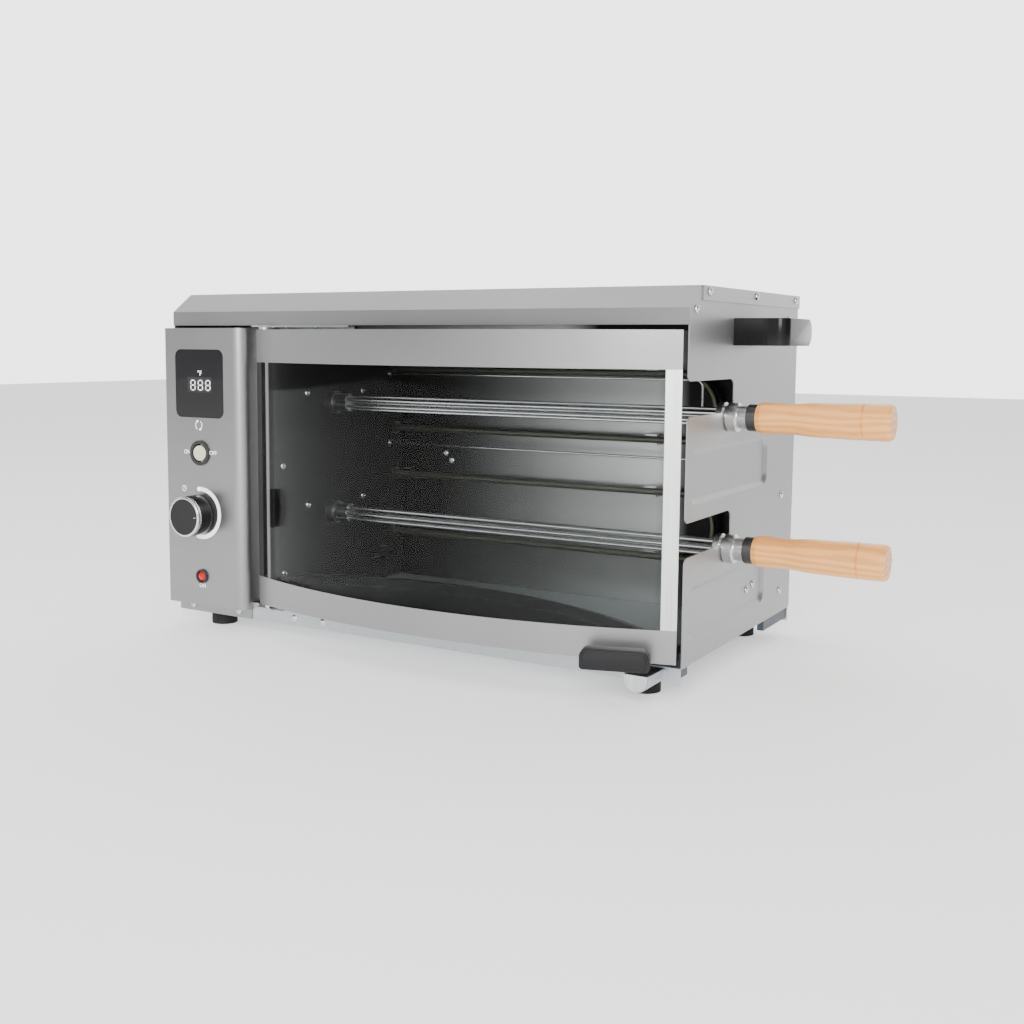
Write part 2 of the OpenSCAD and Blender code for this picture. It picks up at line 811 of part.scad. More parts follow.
roof_y0 = lip_return + 2 * sheet;
roof_fold = 10;
module cavity_roof() {
    right = skin_x - sheet;
    color("gainsboro") at_frame() {
        box([wall_x - sheet, roof_y0, roof_h], [right, cavity_d + sheet, roof_h + sheet]);
        box([wall_x + roof_fold, roof_y0, roof_h - roof_fold], [right, roof_y0 + sheet, roof_h + sheet]);
    }
}

// Plan of the drip tray: the overlap of two arcs, cut square at both ends
module tray_plan(t) {
    intersection() {
        translate([door_mid, door_cy]) circle(r = tray_front_r - t, $fn = 256);
        translate([door_mid, tray_back_cy]) circle(r = tray_back_r - t, $fn = 256);
        translate([tray_x0 + t, -door_bulge]) square([tray_x1 - tray_x0 - 2 * t, door_bulge + tray_back]);
    }
}

// Middle of the tray's depth over the trough
tray_mid_y = (door_cy + tray_back_cy - arc_rise(tray_front_r) + arc_rise(tray_back_r)) / 2;
function arc_rise(r) = sqrt(r * r - (trough_x - door_mid) * (trough_x - door_mid));

module drip_tray() {
    color("silver") at_frame()
        translate([tray_x1, 0, tray_seat_z]) rotate([0, tray_tilt, 0]) translate([-tray_x1, 0, 0])
            difference() {
                union() {
                    flat_slab(0, tray_h) tray_plan(0);
                    // Folded rim, a little proud of the walls
                    flat_slab(tray_h - rim_h, tray_h) tray_plan(-rim_proud);
                }
                flat_slab(tray_wall, tray_h - rim_h) tray_plan(tray_wall);
                flat_slab(tray_wall, tray_h + over) tray_plan(2 * rim_h);
                bar_z(trough_r / 3, -over, 2 * tray_wall, trough_x - over, tray_mid_y);
            }
}

module drawer_runners() {
    under = floor_h - sheet - seat;
    ledge_z = trough_top - trough_wall - 3 * seat;
    inner = trough_r + pass;
    outer = trough_r + ledge_w + pass;
    color("gray") at_frame() translate([trough_x, 0, 0]) for (side = [0, 1]) mirror([side, 0, 0]) {
        box([inner, 2 * ledge_y0, ledge_z - web_t], [outer + web_t, trough_y1, ledge_z]);
        box([outer, 2 * ledge_y0, ledge_z - web_t], [outer + web_t, trough_y1, under]);
    }
}

// Section of the half-round trough, as X and Z about its middle
module trough_section(r, top) {
    difference() {
        circle(r);
        translate([-2 * r, 0]) square([4 * r, 2 * r]);
    }
    translate([-r, -seat]) square([2 * r, top + seat]);
}

module drawer_trough() {
    rise = trough_top - trough_cz;
    inner_r = trough_r - trough_wall;
    color("lightsteelblue") at_frame() {
        difference() {
            union() {
                translate([trough_x, 0, trough_cz]) front_slab(-trough_out + sheet, trough_y1)
                    trough_section(trough_r, rise);
                box([trough_x - trough_r - ledge_w, ledge_y0, trough_top - trough_wall],
                    [trough_x + trough_r + ledge_w, trough_y1 - over, trough_top]);
            }
            translate([trough_x, 0, trough_cz]) front_slab(-trough_out - over, trough_y1 - trough_wall)
                trough_section(inner_r, rise + over);
        }
    }
}

module drawer_front() {
    rise = trough_top - trough_cz;
    color("silver") at_frame() translate([trough_x, 0, trough_cz]) difference() {
        front_slab(-trough_out, -trough_out + 6 * sheet)
            trough_section(trough_r - trough_wall - seat, rise);
        front_slab(-trough_out + sheet, -trough_out + 7 * sheet)
            trough_section(trough_r - 2 * trough_wall - seat, rise + over);
    }
}

// One U-shaped tube heater with its cold ends through the cavity's left wall
cold_len = 18;
pin_len = 7;
module heating_element(z) {
    bend_x = wall_x + element_len - element_half - tube_r;
    translate([bend_x, element_y, z]) rotate([90, 0, 0]) rotate([0, 0, -90])
        rotate_extrude(angle = 180) translate([element_half, 0]) circle(r = tube_r, $fn = 32);
    for (side = [-1, 1]) {
        bar_x(tube_r, wall_x - cold_len, bend_x, element_y, z + side * element_half);
        bar_x(2 * tube_r, wall_x + seat, wall_x + tube_r, element_y, z + side * element_half);
        bar_x(tube_r / 2, wall_x - cold_len - pin_len, wall_x, element_y, z + side * element_half);
    }
}

module upper_heating_element() {
    color("darkolivegreen") at_frame() heating_element(upper_z);
}

module lower_heating_element() {
    color("darkolivegreen") at_frame() heating_element(lower_element_z);
}

// Cradles that hold the tubes off the back wall
cradle_w = 12;
module element_cradles() {
    color("gainsboro") at_frame() for (z = run_z, x = [wall_x + cradle_w / 2, wall_x + 0.8 * element_len])
        difference() {
            box([x, element_y, z - 1.6 * tube_r], [x + cradle_w, cavity_d - seat, z + 1.6 * tube_r]);
            bar_x(tube_r + seat, x - over, x + cradle_w + over, element_y, z);
        }
}

// Guard wire in front of the upper element
wire_down = 47;
wire_up = 26.5;
wire_short = 12;
module guard_wire() {
    low = upper_z - wire_down;
    high = upper_z + wire_up;
    bend = 5 * wire_r;
    right = wall_x + element_len - wire_short;
    color("white") at_frame() {
        for (z = [low, high]) {
            bar_x(wire_r, wall_x + seat, right - bend, wire_y, z);
            bar_x(3 * wire_r, wall_x + seat, wall_x + wire_r, wire_y, z);
        }
        bar_z(wire_r, low + bend, high - bend, right, wire_y);
        for (end = [[high - bend, 0], [low + bend, -90]])
            translate([right - bend, wire_y, end[0]]) rotate([90, 0, 0]) rotate([0, 0, end[1]])
                rotate_extrude(angle = 90) translate([bend, 0]) circle(r = wire_r, $fn = 24);
    }
}

module temperature_probe() {
    x = wall_x + 2 * probe_r;
    color("silver") at_frame() {
        bar_y(probe_r, probe_y - probe_front, probe_y + probe_rear, x, probe_z);
        translate([x, probe_y - probe_front, probe_z]) sphere(probe_r);
        box([wall_x + seat, probe_y - probe_clip, probe_z - 2 * probe_r],
            [x, probe_y + probe_clip, probe_z + 2 * probe_r]);
    }
}

// Display
window_corner = 7;
window_t = 2;
window_rim = 1.5;
board_y = panel_face + 6 * sheet;
board_t = 1.6;

module display_window() {
    face = panel_face + 3 * seat;
    color([0.03, 0.03, 0.04]) at_frame() {
        front_slab(face, panel_face + sheet + seat)
            round_rect([control_x - window_w / 2 + seat, window_z - window_h / 2 + seat],
                [control_x + window_w / 2 - seat, window_z + window_h / 2 - seat], window_corner);
        front_slab(panel_face + sheet + seat, panel_face + sheet + window_t)
            round_rect([control_x - window_w / 2 - window_rim, window_z - window_h / 2 - window_rim],
                [control_x + window_w / 2 + window_rim, window_z + window_h / 2 + window_rim], window_corner);
    }
}

module display_board() {
    w = window_w / 2 - window_rim;
    h = window_h / 2 - window_rim;
    color("seagreen") at_frame() {
        box([control_x - w, board_y, window_z - h], [control_x + w, board_y + board_t, window_z + h]);
        box([control_x - 0.6 * w, panel_face + sheet + window_t + seat, window_z - 0.4 * h],
            [control_x + 0.6 * w, board_y, window_z + 0.4 * h]);
        for (x = [-1, 1], z = [-1, 1])
            bar_y(window_rim, panel_face + sheet + window_t + seat, board_y,
                control_x + x * (w - 2 * window_rim), window_z + z * (h - 2 * window_rim));
    }
}

// Rotation switch; the rocker turns about an upright pin
bezel_out = 1.6;
bezel_lip = 1.8;
barrel_wall = 1.4;
barrel_len = 18;
well_gap = 1.6;
spade_len = 6;
rocker_d = 8;
rocker_in = 2.5;
trunnion_r = 1.2;
barrel_r = switch_r - bezel_lip;
rocker_r = barrel_r - barrel_wall - well_gap;
barrel_back = panel_face + barrel_len;
rocker_y = panel_face + rocker_in;

module switch_bezel() {
    well = rocker_r + well_gap;
    pocket = barrel_r - barrel_wall / 2;
    color("dimgray") at_frame() difference() {
        union() {
            bar_y(switch_r, panel_face - bezel_out, panel_face - seat, control_x, switch_z);
            bar_y(barrel_r, panel_face - seat, barrel_back, control_x, switch_z);
            for (x = [-barrel_r / 2, barrel_r / 2])
                box([control_x + x - sheet / 2, barrel_back - sheet, switch_z - 2 * sheet],
                    [control_x + x + sheet / 2, barrel_back + spade_len, switch_z + 2 * sheet]);
        }
        bar_y(well, panel_face - bezel_out - over, rocker_y + rocker_d, control_x, switch_z);
        bar_z(trunnion_r + play, switch_z - pocket, switch_z + pocket, control_x, rocker_y);
    }
}

module switch_rocker() {
    front = rocker_d / 2;
    pin = barrel_r - barrel_wall / 2 - 3 * seat;
    color("ivory") at_frame() translate([control_x, rocker_y, switch_z])
        rotate([0, 0, rocker_tilt / 2]) {
            bar_y(rocker_r, -front, front / 2, 0, 0);
            bar_z(trunnion_r, -pin, pin, 0, 0);
        }
}

// Timer with its knob
shaft_r = 3;
knob_gap = 4.6;
knob_front = panel_face - knob_gap - knob_len;
knob_ring_len = 5;
knob_ring_t = 1.2;

module timer_knob() {
    color("black") at_frame() difference() {
        union() {
            bar_y(knob_r, knob_front + knob_ring_len, panel_face - knob_gap, control_x, knob_z);
            bar_y(knob_r - knob_ring_t, knob_front, knob_front + knob_ring_len, control_x, knob_z);
        }
        bar_y(shaft_r + seat, knob_front + knob_len / 2 - over, panel_face, control_x, knob_z);
    }
}

module timer_knob_ring() {
    color("white") at_frame() difference() {
        bar_y(knob_r, knob_front, knob_front + knob_ring_len - seat, control_x, knob_z);
        bar_y(knob_r - knob_ring_t + seat / 2, knob_front - over, knob_front + knob_ring_len,
            control_x, knob_z);
    }
}

timer_half = 21;
timer_d = 33;
timer_wall = 12;
timer_back = panel_face + timer_d;
module timer_shaft() {
    color("silver") at_frame()
        bar_y(shaft_r, knob_front + knob_len / 2, timer_back - timer_wall - 2 * sheet, control_x, knob_z);
}

module timer_body() {
    front = panel_face + sheet + seat;
    color("whitesmoke") at_frame() difference() {
        box([control_x - timer_half, front, knob_z - timer_half],
            [control_x + timer_half, timer_back, knob_z + timer_half]);
        bar_y(shaft_r + play, front - over, timer_back - timer_wall, control_x, knob_z);
    }
}

// Signal lamp
lamp_lip = 0.9;
lamp_rim = 1.8;
lamp_out = 2;
lamp_barrel_len = 16;
lens_in = 6;
lens_dome = 1.2;
lamp_barrel_r = lamp_r - lamp_lip;
lens_r = lamp_r - lamp_rim;

module lamp_bezel() {
    color("dimgray") at_frame() difference() {
        union() {
            bar_y(lamp_r, panel_face - lamp_out, panel_face - seat, control_x, lamp_z);
            bar_y(lamp_barrel_r, panel_face - seat, panel_face + lamp_barrel_len, control_x, lamp_z);
        }
        bar_y(lens_r + seat, panel_face - lamp_out - over, panel_face + lens_in, control_x, lamp_z);
    }
}

module lamp_lens() {
    color("firebrick") at_frame() {
        bar_y(lens_r, panel_face - lamp_out, panel_face + lens_in - seat, control_x, lamp_z);
        translate([control_x, panel_face - lamp_out, lamp_z]) rotate([90, 0, 0])
            rotate_extrude() polygon([for (a = [0:15:90]) [lens_r * cos(a), lens_dome * sin(a)], [0, 0]]);
    }
}

// Gearmotor that drives one skewer from the left bay
module gearmotor(z) {
    x1 = wall_x - sheet - seat;
    cy = axis_y + motor_dy;
    cz = z + motor_dz;
    difference() {
        union() {
            bar_x(motor_r, x1 - motor_t, x1, cy, cz);
            bar_x(0.8 * motor_r, x1 - 1.9 * motor_t, x1 - motor_t, cy, cz);
            box([x1 - 2 * sheet, cy - motor_ear - 2 * head_r, cz - 2 * head_r],
                [x1, cy + motor_ear + 2 * head_r, cz + 2 * head_r]);
        }
        bar_x(shank_r + play, wall_x - shank_len - pass, wall_x, axis_y, z);
        at_motor_screws() screw_hole();
    }
}

module upper_gearmotor() {
    color("lightgray") at_frame() gearmotor(upper_z);
}

module lower_gearmotor() {
    color("lightgray") at_frame() gearmotor(lower_z);
}

// Places of a skewer's rods, as Y and Z; first is one rod's angle
function rod_places(first) = concat([[0, 0]], [for (i = [0:5])
    [ring_r * cos(first + 60 * i), ring_r * sin(first + 60 * i)]]);

module drive_socket(z, first) {
    difference() {
        union() {
            bar_x(shank_r, wall_x - shank_len, hub_x, axis_y, z);
            bar_x(ring_outer_r, wall_x + pass, hub_x, axis_y, z);
            bar_x(hub_r, hub_x, hub_end, axis_y, z);
        }
        for (p = rod_places(first))
            bar_x(rod_r + play, hub_end - rod_plug, hub_end + over, axis_y + p.x, z + p.y);
        // Flutes between the rods make the socket's star
        for (i = [0:5]) bar_x(rod_r, hub_x + 2 * rod_r, hub_end + over,
            axis_y + hub_r * cos(first + 30 + 60 * i), z + hub_r * sin(first + 30 + 60 * i));
    }
}

module upper_drive_socket() {
    color("silver") at_frame() drive_socket(upper_z, 90);
}

module lower_drive_socket() {
    color("silver") at_frame() drive_socket(lower_z, 60);
}

module skewer_rods(z, first) {
    for (p = rod_places(first))
        bar_x(rod_r, hub_end - rod_plug + seat, collar_in + rod_sink, axis_y + p.x, z + p.y);
}

module upper_skewer_rods() {
    color("white") at_frame() skewer_rods(upper_z, 90);
}

module lower_skewer_rods() {
    color("white") at_frame() skewer_rods(lower_z, 60);
}

// Turned collar: two flanges with the groove that runs in the side panel, a spool and a tang
module skewer_collar(z, first) {
    groove_x = collar_in + flange_t;
    outer_x = groove_x + groove_w;
    profile = [[0, collar_in], [collar_r - sheet, collar_in], [collar_r, collar_in + sheet],
        [collar_r, groove_x], [groove_r, groove_x], [groove_r, outer_x], [collar_r, outer_x],
        [collar_r, outer_x + disc_t - sheet], [collar_r - sheet, outer_x + disc_t],
        [groove_r, outer_x + disc_t], [groove_r, ferrule_x - seat], [tang_r, ferrule_x - seat],
        [tang_r, wood_x + tang_len], [0, wood_x + tang_len]];
    difference() {
        translate([0, axis_y, z]) rotate([0, 90, 0]) rotate_extrude() polygon(profile);
        for (p = rod_places(first))
            bar_x(rod_r + play, collar_in - over, collar_in + rod_sink + seat, axis_y + p.x, z + p.y);
    }
}

module upper_skewer_collar() {
    color("white") at_frame() skewer_collar(upper_z, 90);
}

module lower_skewer_collar() {
    color("white") at_frame() skewer_collar(lower_z, 60);
}

module skewer_ferrule(z) {
    edge = sheet / 2;
    profile = [[tang_r + play, ferrule_x], [ferrule_r - edge, ferrule_x], [ferrule_r, ferrule_x + edge],
        [ferrule_r, wood_x - seat], [tang_r + play, wood_x - seat]];
    translate([0, axis_y, z]) rotate([0, 90, 0]) rotate_extrude() polygon(profile);
}

module upper_skewer_ferrule() {
    color("dimgray") at_frame() skewer_ferrule(upper_z);
}

module lower_skewer_ferrule() {
    color("dimgray") at_frame() skewer_ferrule(lower_z);
}

// Swell of the turned wood: places along it and radii there, as shares of its length and radius
wood_station_shares = [0, 0.04, 0.25, 0.47, 0.786, 0.796, 0.806, 0.975, 1];
wood_radius_shares = [0.8, 0.885, 0.848, 0.957, 1, 0.93, 1, 1, 0.91];
function ease(t) = (1 - cos(180 * t)) / 2;

module skewer_handle(z) {
    last = len(wood_station_shares) - 2;
    curve = [for (i = [0:last], t = [0:0.25:0.99])
        wood_point(wood_station_shares[i] + (wood_station_shares[i + 1] - wood_station_shares[i]) * t,
            wood_radius_shares[i] + (wood_radius_shares[i + 1] - wood_radius_shares[i]) * ease(t))];
    end = wood_point(1, wood_radius_shares[last + 1]);
    bore_end = wood_x + tang_len + seat;
    translate([0, axis_y, z]) rotate([0, 90, 0]) rotate_extrude()
        polygon(concat([[tang_r + play, wood_x]], curve, [end, [0, skewer_end],
            [0, bore_end], [tang_r + play, bore_end]]));
}
function wood_point(along, r) = [wood_r * r, wood_x + wood_len * along];

module upper_skewer_handle() {
    color("burlywood") at_frame() skewer_handle(upper_z);
}

module lower_skewer_handle() {
    color("burlywood") at_frame() skewer_handle(lower_z);
}

// A section in radius and height, swept along the door's arc between two angles
module along_door(phi0, phi1) {
    translate([door_mid, door_cy, 0]) rotate([0, 0, 270 + phi0])
        rotate_extrude(angle = phi1 - phi0, $fn = 256) children();
}

module section(r0, r1, z0, z1) {
    translate([r0, z0]) square([r1 - r0, z1 - z0]);
}

// Pull a child to a place on the door's arc, facing outwards along -Y
module on_door(phi) {
    translate([door_mid, door_cy, 0]) rotate([0, 0, phi]) children();
}

// Angles that the stiles cover
right_stile_phi = door_phi - asin(stile_w / door_r);
left_stile_phi = -door_phi + asin(left_stile_w / door_r);
glass_low = door_low + lower_band_h - band_d;
glass_top = door_top - upper_band_h + band_d;
band_phi = asin(sheet / door_r);

module door_upper_band() {
    low = door_top - upper_band_h;
    color("silver") at_frame() difference() {
        union() {
            difference() {
                along_door(-door_phi, door_phi) section(door_r - band_d, door_r, low, door_top);
                along_door(-door_phi + band_phi, door_phi - band_phi)
                    section(door_r - band_d - over, door_r - sheet, low - over, door_top - sheet);
            }
            // Crescent plate between the band and the case
            flat_slab(door_top - sheet - seat, door_top - seat) intersection() {
                translate([door_mid, door_cy]) circle(r = door_r - sheet / 2, $fn = 256);
                translate([pin_x + 2 * band_d, -door_bulge])
                    square([door_x1 - sheet - pin_x - 2 * band_d, door_bulge - door_end_out]);
            }
        }
        bar_z(pin_r + pass, door_top - 2 * sheet, door_top + over, pin_x, pin_y);
    }
}

// Arched lower edge, cut by a wide cylinder
arch_r = (door_half * door_half + band_arch * band_arch) / (2 * band_arch);
module door_lower_band() {
    high = door_low + lower_band_h;
    arch_z = door_low + band_arch + seat - arch_r;
    color("silver") at_frame() difference() {
        along_door(-door_phi, door_phi) section(door_r - band_d, door_r, door_low, high);
        difference() {
            along_door(-door_phi + band_phi, door_phi - band_phi)
                section(door_r - band_d - over, door_r - sheet, door_low - over, high + over);
            translate([door_mid, over, arch_z]) rotate([90, 0, 0])
                cylinder(r = arch_r + sheet, h = 2 * door_bulge, $fn = 512);
        }
        translate([door_mid, over + band_d, arch_z]) rotate([90, 0, 0])
            cylinder(r = arch_r, h = 2 * door_bulge, $fn = 512);
        bar_z(pin_r + pass, door_low - over, door_low + 3 * sheet, pin_x, pin_y);
        at_grip_screws() translate([0, 0, -over]) cylinder(r = screw_r + seat, h = band_d);
    }
}

module door_glass() {
    color([0.75, 0.8, 0.85, 0.35]) at_frame()
        along_door(-door_phi + 2 * band_phi, door_phi - 2 * band_phi)
            section(glass_r - glass_t, glass_r, glass_low, glass_top);
}

// Stile between two angles; its section is open towards the side that shift gives
module door_stile(phi0, phi1, shift) {
    low = door_low + lower_band_h + seat;
    high = door_top - upper_band_h - seat;
    difference() {
        along_door(phi0, phi1) section(door_r - band_d, door_r, low, high);
        along_door(phi0 + shift, phi1 + shift)
            section(door_r - band_d - over, door_r - sheet, low - over, high + over);
    }
}

module door_right_stile() {
    color("gainsboro") at_frame() door_stile(right_stile_phi, door_phi, -band_phi);
}

module door_left_stile() {
    color("gainsboro") at_frame() door_stile(-door_phi, left_stile_phi, band_phi);
}

// Clips that press the glass to the bands, as angles along the door
clip_phis = [-0.55 * door_phi, 0, 0.55 * door_phi];
clip_w = 16;
module door_glass_clips() {
    clip_r = glass_r - glass_t - seat;
    clip_phi = asin(clip_w / 2 / door_r);
    color("silver") at_frame() for (phi = clip_phis) {
        for (span = [[door_low + band_arch + 2 * sheet, glass_low + band_d - 2 * sheet],
            [glass_top - band_d + 2 * sheet, door_top - 2 * sheet]])
            along_door(phi - clip_phi, phi + clip_phi) section(clip_r - sheet, clip_r, span[0], span[1]);
    }
}

// Door handle with its two posts
grip_down = 6.3;
grip_z = door_low + lower_band_h / 2 - grip_down;
grip_top_r = 7;
grip_low_r = 3;
post_r = 3.2;
post_out = 0.32 * grip_w;

module at_grip_screws() {
    on_door(grip_phi) for (x = [-post_out, post_out])
        translate([x, -door_r + band_d, grip_z]) rotate([90, 0, 0]) children();
}

// Outline of the handle's face, set in by t: wide round corners above, small ones below
module grip_face(t) {
    w = grip_w / 2 - t;
    h = grip_h / 2 - t;
    top = grip_top_r - t;
    low = grip_low_r - t;
    for (x = [-1, 1]) {
        translate([x * (w - top), h - top]) circle(r = top, $fn = 32);
        translate([x * (w - low), low - h]) circle(r = low, $fn = 32);
    }
    translate([-w, low - h]) square([2 * w, 2 * h - low - top]);
    translate([low - w, -h]) square([2 * (w - low), h]);
    translate([top - w, 0]) square([2 * (w - top), h]);
}

module door_handle() {
    back = -door_r - grip_gap;
    edge = 2.5;
    color("black") at_frame() on_door(grip_phi) translate([0, 0, grip_z]) difference() {
        union() {
            front_slab(back - grip_d + edge, back) grip_face(0);
            front_slab(back - grip_d + edge / 3, back - grip_d + edge + over) grip_face(edge / 3);
            front_slab(back - grip_d, back - grip_d + edge) grip_face(edge);
        }
        for (x = [-post_out, post_out]) bar_y(post_r + seat, back - grip_d / 2, back + over, x, 0);
    }
}

module door_handle_posts() {
    color("silver") at_frame() on_door(grip_phi) translate([0, 0, grip_z])
        for (x = [-post_out, post_out]) bar_y(post_r, -door_r - grip_gap - grip_d / 2 + seat,
            -sqrt(door_r * door_r - x * x) - seat, x, 0);
}

// Bushes inside the bands that turn on the hinge pins
module hinge_bushes() {
    phi1 = -door_phi + asin(2 * hinge_in / door_r);
    color("darkgray") at_frame() difference() {
        along_door(-door_phi + band_phi + asin(seat / door_r), phi1) {
            section(door_r - band_d, door_r - sheet - seat, door_low + 2 * sheet, glass_low - seat);
            section(door_r - band_d, door_r - sheet - seat, glass_top + seat, door_top - sheet - seat);
        }
        bar_z(pin_r + play, door_low - over, door_top + over, pin_x, pin_y);
    }
}

module hinge_pins() {
    color("white") at_frame() {
        bar_z(pin_r, arm_low_z + bracket_t + seat, glass_low - 2 * sheet, pin_x, pin_y);
        // Shoulder that carries the door
        bar_z(1.8 * pin_r, arm_low_z + bracket_t + seat, door_low - arm_gap, pin_x, pin_y);
        bar_z(pin_r, glass_top + 2 * sheet, upper_plate_z - seat, pin_x, pin_y);
        // Washer between the door and the upper bracket
        bar_z(2.9 * pin_r, arm_high_z, upper_plate_z - seat, pin_x, pin_y);
    }
}

module hinge_brackets() {
    arm_front = pin_y - 2.5 * pin_r;
    plate_y = sheet + seat;
    color("gray") at_frame() difference() {
        union() {
            // Lower bracket behind the front strip, its arm out through the slot
            box([slot_x0 + slot_r, plate_y, floor_h / 2 - 1.5 * head_r],
                [lower_rivet_x[1] + 2 * head_r, plate_y + bracket_t, floor_h - sheet - seat]);
            box([slot_x0 + slot_r, plate_y, floor_h / 2 - 1.5 * head_r],
                [slot_x0 + slot_r + arm_w, plate_y + bracket_t, arm_low_z + bracket_t]);
            box([slot_x0 + slot_r, arm_front, arm_low_z],
                [slot_x0 + slot_r + arm_w, plate_y + bracket_t, arm_low_z + bracket_t]);
            // Upper bracket under the lip, with a leg down its back
            box([slot_x0 + slot_r, arm_front, upper_plate_z],
                [slot_x0 + slot_r + arm_w, leg_back, upper_plate_z + bracket_t]);
            box([slot_x0 + slot_r, -sheet, upper_plate_z],
                [pin_x + plate_end, leg_back, upper_plate_z + bracket_t]);
            box([slot_x0 + slot_r, leg_back - bracket_t, arm_high_z],
                [pin_x + plate_end, leg_back, upper_plate_z + bracket_t]);
        }
        at_lower_rivets() screw_hole();
        at_upper_rivets() screw_hole();
    }
}

// Side outline of a carry handle, as Y and Z: its rear end is a half round
module carry_side() {
    end_r = carry_h / 2;
    y1 = carry_y + carry_len - end_r;
    translate([y1, carry_z]) circle(r = end_r);
    for (z = [-1, 1])
        translate([carry_y + carry_round, carry_z + z * (end_r - carry_round)]) circle(carry_round);
    translate([carry_y + carry_round, carry_z - end_r]) square([y1 - carry_y - carry_round, carry_h]);
    translate([carry_y, carry_z - end_r + carry_round]) square([carry_len / 2, carry_h - 2 * carry_round]);
}

// Plan of a carry handle: a wide bend at its front outer corner
module carry_plan() {
    out = half_w + carry_out;
    y1 = carry_y + carry_len;
    translate([out - carry_bend, carry_y + carry_bend]) circle(carry_bend);
    translate([out - carry_round, y1 - carry_round]) circle(carry_round);
    translate([half_w + seat, carry_y]) square([carry_out - carry_bend - seat, carry_len]);
    translate([out - carry_bend - over, carry_y + carry_bend])
        square([carry_bend + over, carry_len - carry_bend - carry_round]);
    translate([out - carry_bend - over, y1 - 2 * carry_round])
        square([carry_bend + over - carry_round, 2 * carry_round]);
}

module carry_handle() {
    wall = carry_round + sheet;
    difference() {
        intersection() {
            side_slab(half_w, half_w + carry_out + over) carry_side();
            flat_slab(carry_z - carry_h, carry_z + carry_h) carry_plan();
        }
        // Finger hollow from below
        box([half_w + wall, carry_y + 2 * wall, carry_z - carry_h],
            [half_w + carry_out - 1.4 * wall, carry_y + carry_len - 2 * wall, carry_z + carry_h / 2 - wall]);
        at_carry_screws(1) screw_hole();
    }
}

module right_carry_handle() {
    color("black") at_frame() carry_handle();
}

module left_carry_handle() {
    color("black") at_frame() mirror([1, 0, 0]) carry_handle();
}

module case_screws() {
    color("white") at_frame() {
        for (side = [-1, 1]) {
            at_side_screws(side) pan_screw();
            at_flange_screws(side) pan_screw();
            at_carry_screws(side) translate([0, 0, seat]) pan_screw();
        }
        at_recess_screws() pan_screw();
        at_motor_screws() pan_screw();
        at_post_screws() pan_screw();
        at_back_screws() pan_screw();
        at_apron_screws() pan_screw();
        at_lower_rivets() rivet();
        at_upper_rivets() rivet();
        at_feet() translate([0, 0, -foot_h + foot_recess]) rotate([180, 0, 0]) foot_screw();
    }
}

// The long screw that holds a foot to its rail
module foot_screw() {
    length = foot_h - foot_recess + rail_t;
    translate([0, 0, -length]) cylinder(r = screw_r, h = length);
    cylinder(r = head_r, h = head_h);
}

module cord_gland() {
    color("black") at_frame() difference() {
        union() {
            bar_y(gland_flange_r, case_d + seat, case_d + gland_out, gland_x, gland_z);
            bar_y(gland_r, case_d - 10 * sheet, case_d + seat, gland_x, gland_z);
        }
        bar_y(gland_r / 2, case_d - 12 * sheet, case_d + gland_out + over, gland_x, gland_z);
    }
}

// Terminal block on the floor of the left bay
block_in = 24;
block_back = 20;
block_x = gland_x + block_in;
block_y = cavity_d - block_back;
block_w = 36;
block_d = 18;
block_h = 16;
module terminal_block() {
    low = [block_x, block_y, floor_h + seat];
    color("ivory") at_frame() difference() {
        box(low, low + [block_w, block_d, block_h]);
        for (i = [1:5]) bar_z(head_r / 2, floor_h + block_h / 2, floor_h + block_h + over,
            block_x + i * block_w / 6, block_y + block_d / 2);
    }
}

// A lead as round runs between points, with a knuckle at each bend
lead_r = 1.4;
module lead(points) {
    for (i = [0:len(points) - 2]) {
        d = points[i + 1] - points[i];
        translate(points[i]) rotate([0, acos(d.z / norm(d)), atan2(d.y, d.x)])
            cylinder(r = lead_r, h = norm(d));
    }
    for (i = [1:len(points) - 2]) translate(points[i]) sphere(1.15 * lead_r);
}

module inner_wiring() {
    top = floor_h + block_h + lead_r + 2 * seat;
    from_y = block_y + block_d / 2;
    front_y = timer_back + 4 * lead_r;
    step = block_w / 6;
    switch_x = control_x + barrel_r / 2;
    can_x = wall_x - sheet - 1.5 * motor_t;
    can_y = axis_y + motor_dy;
    color("sienna") at_frame() {
        // To the timer
        lead([[block_x + step, from_y, top], [block_x + step, front_y, top], [control_x, front_y, top],
            [control_x, front_y, knob_z - timer_half / 2],
            [control_x, timer_back + seat, knob_z - timer_half / 2]]);
        // To the rotation switch
        lead([[block_x + 2.5 * step, from_y, top], [block_x + 2.5 * step, front_y + 8 * lead_r, top],
            [block_x + 2.5 * step, front_y + 8 * lead_r, switch_z],
            [switch_x, front_y + 8 * lead_r, switch_z],
            [switch_x, barrel_back + spade_len + seat, switch_z]]);
        // To the lower motor, and on to the upper one
        lead([[can_x, from_y, top], [can_x, can_y, top],
            [can_x, can_y, lower_z + motor_dz - 0.8 * motor_r - seat]]);
        bar_z(lead_r, lower_z + motor_dz + 0.8 * motor_r + seat, upper_z + motor_dz - 0.8 * motor_r - seat,
            can_x, can_y);
        // Bus wire behind the heaters' pins
        bar_z(lead_r, run_z[3] - 2 * tube_r, run_z[0] + 2 * tube_r,
            wall_x - cold_len - pin_len / 2, element_y + tube_r / 2 + lead_r + seat);
    }
}

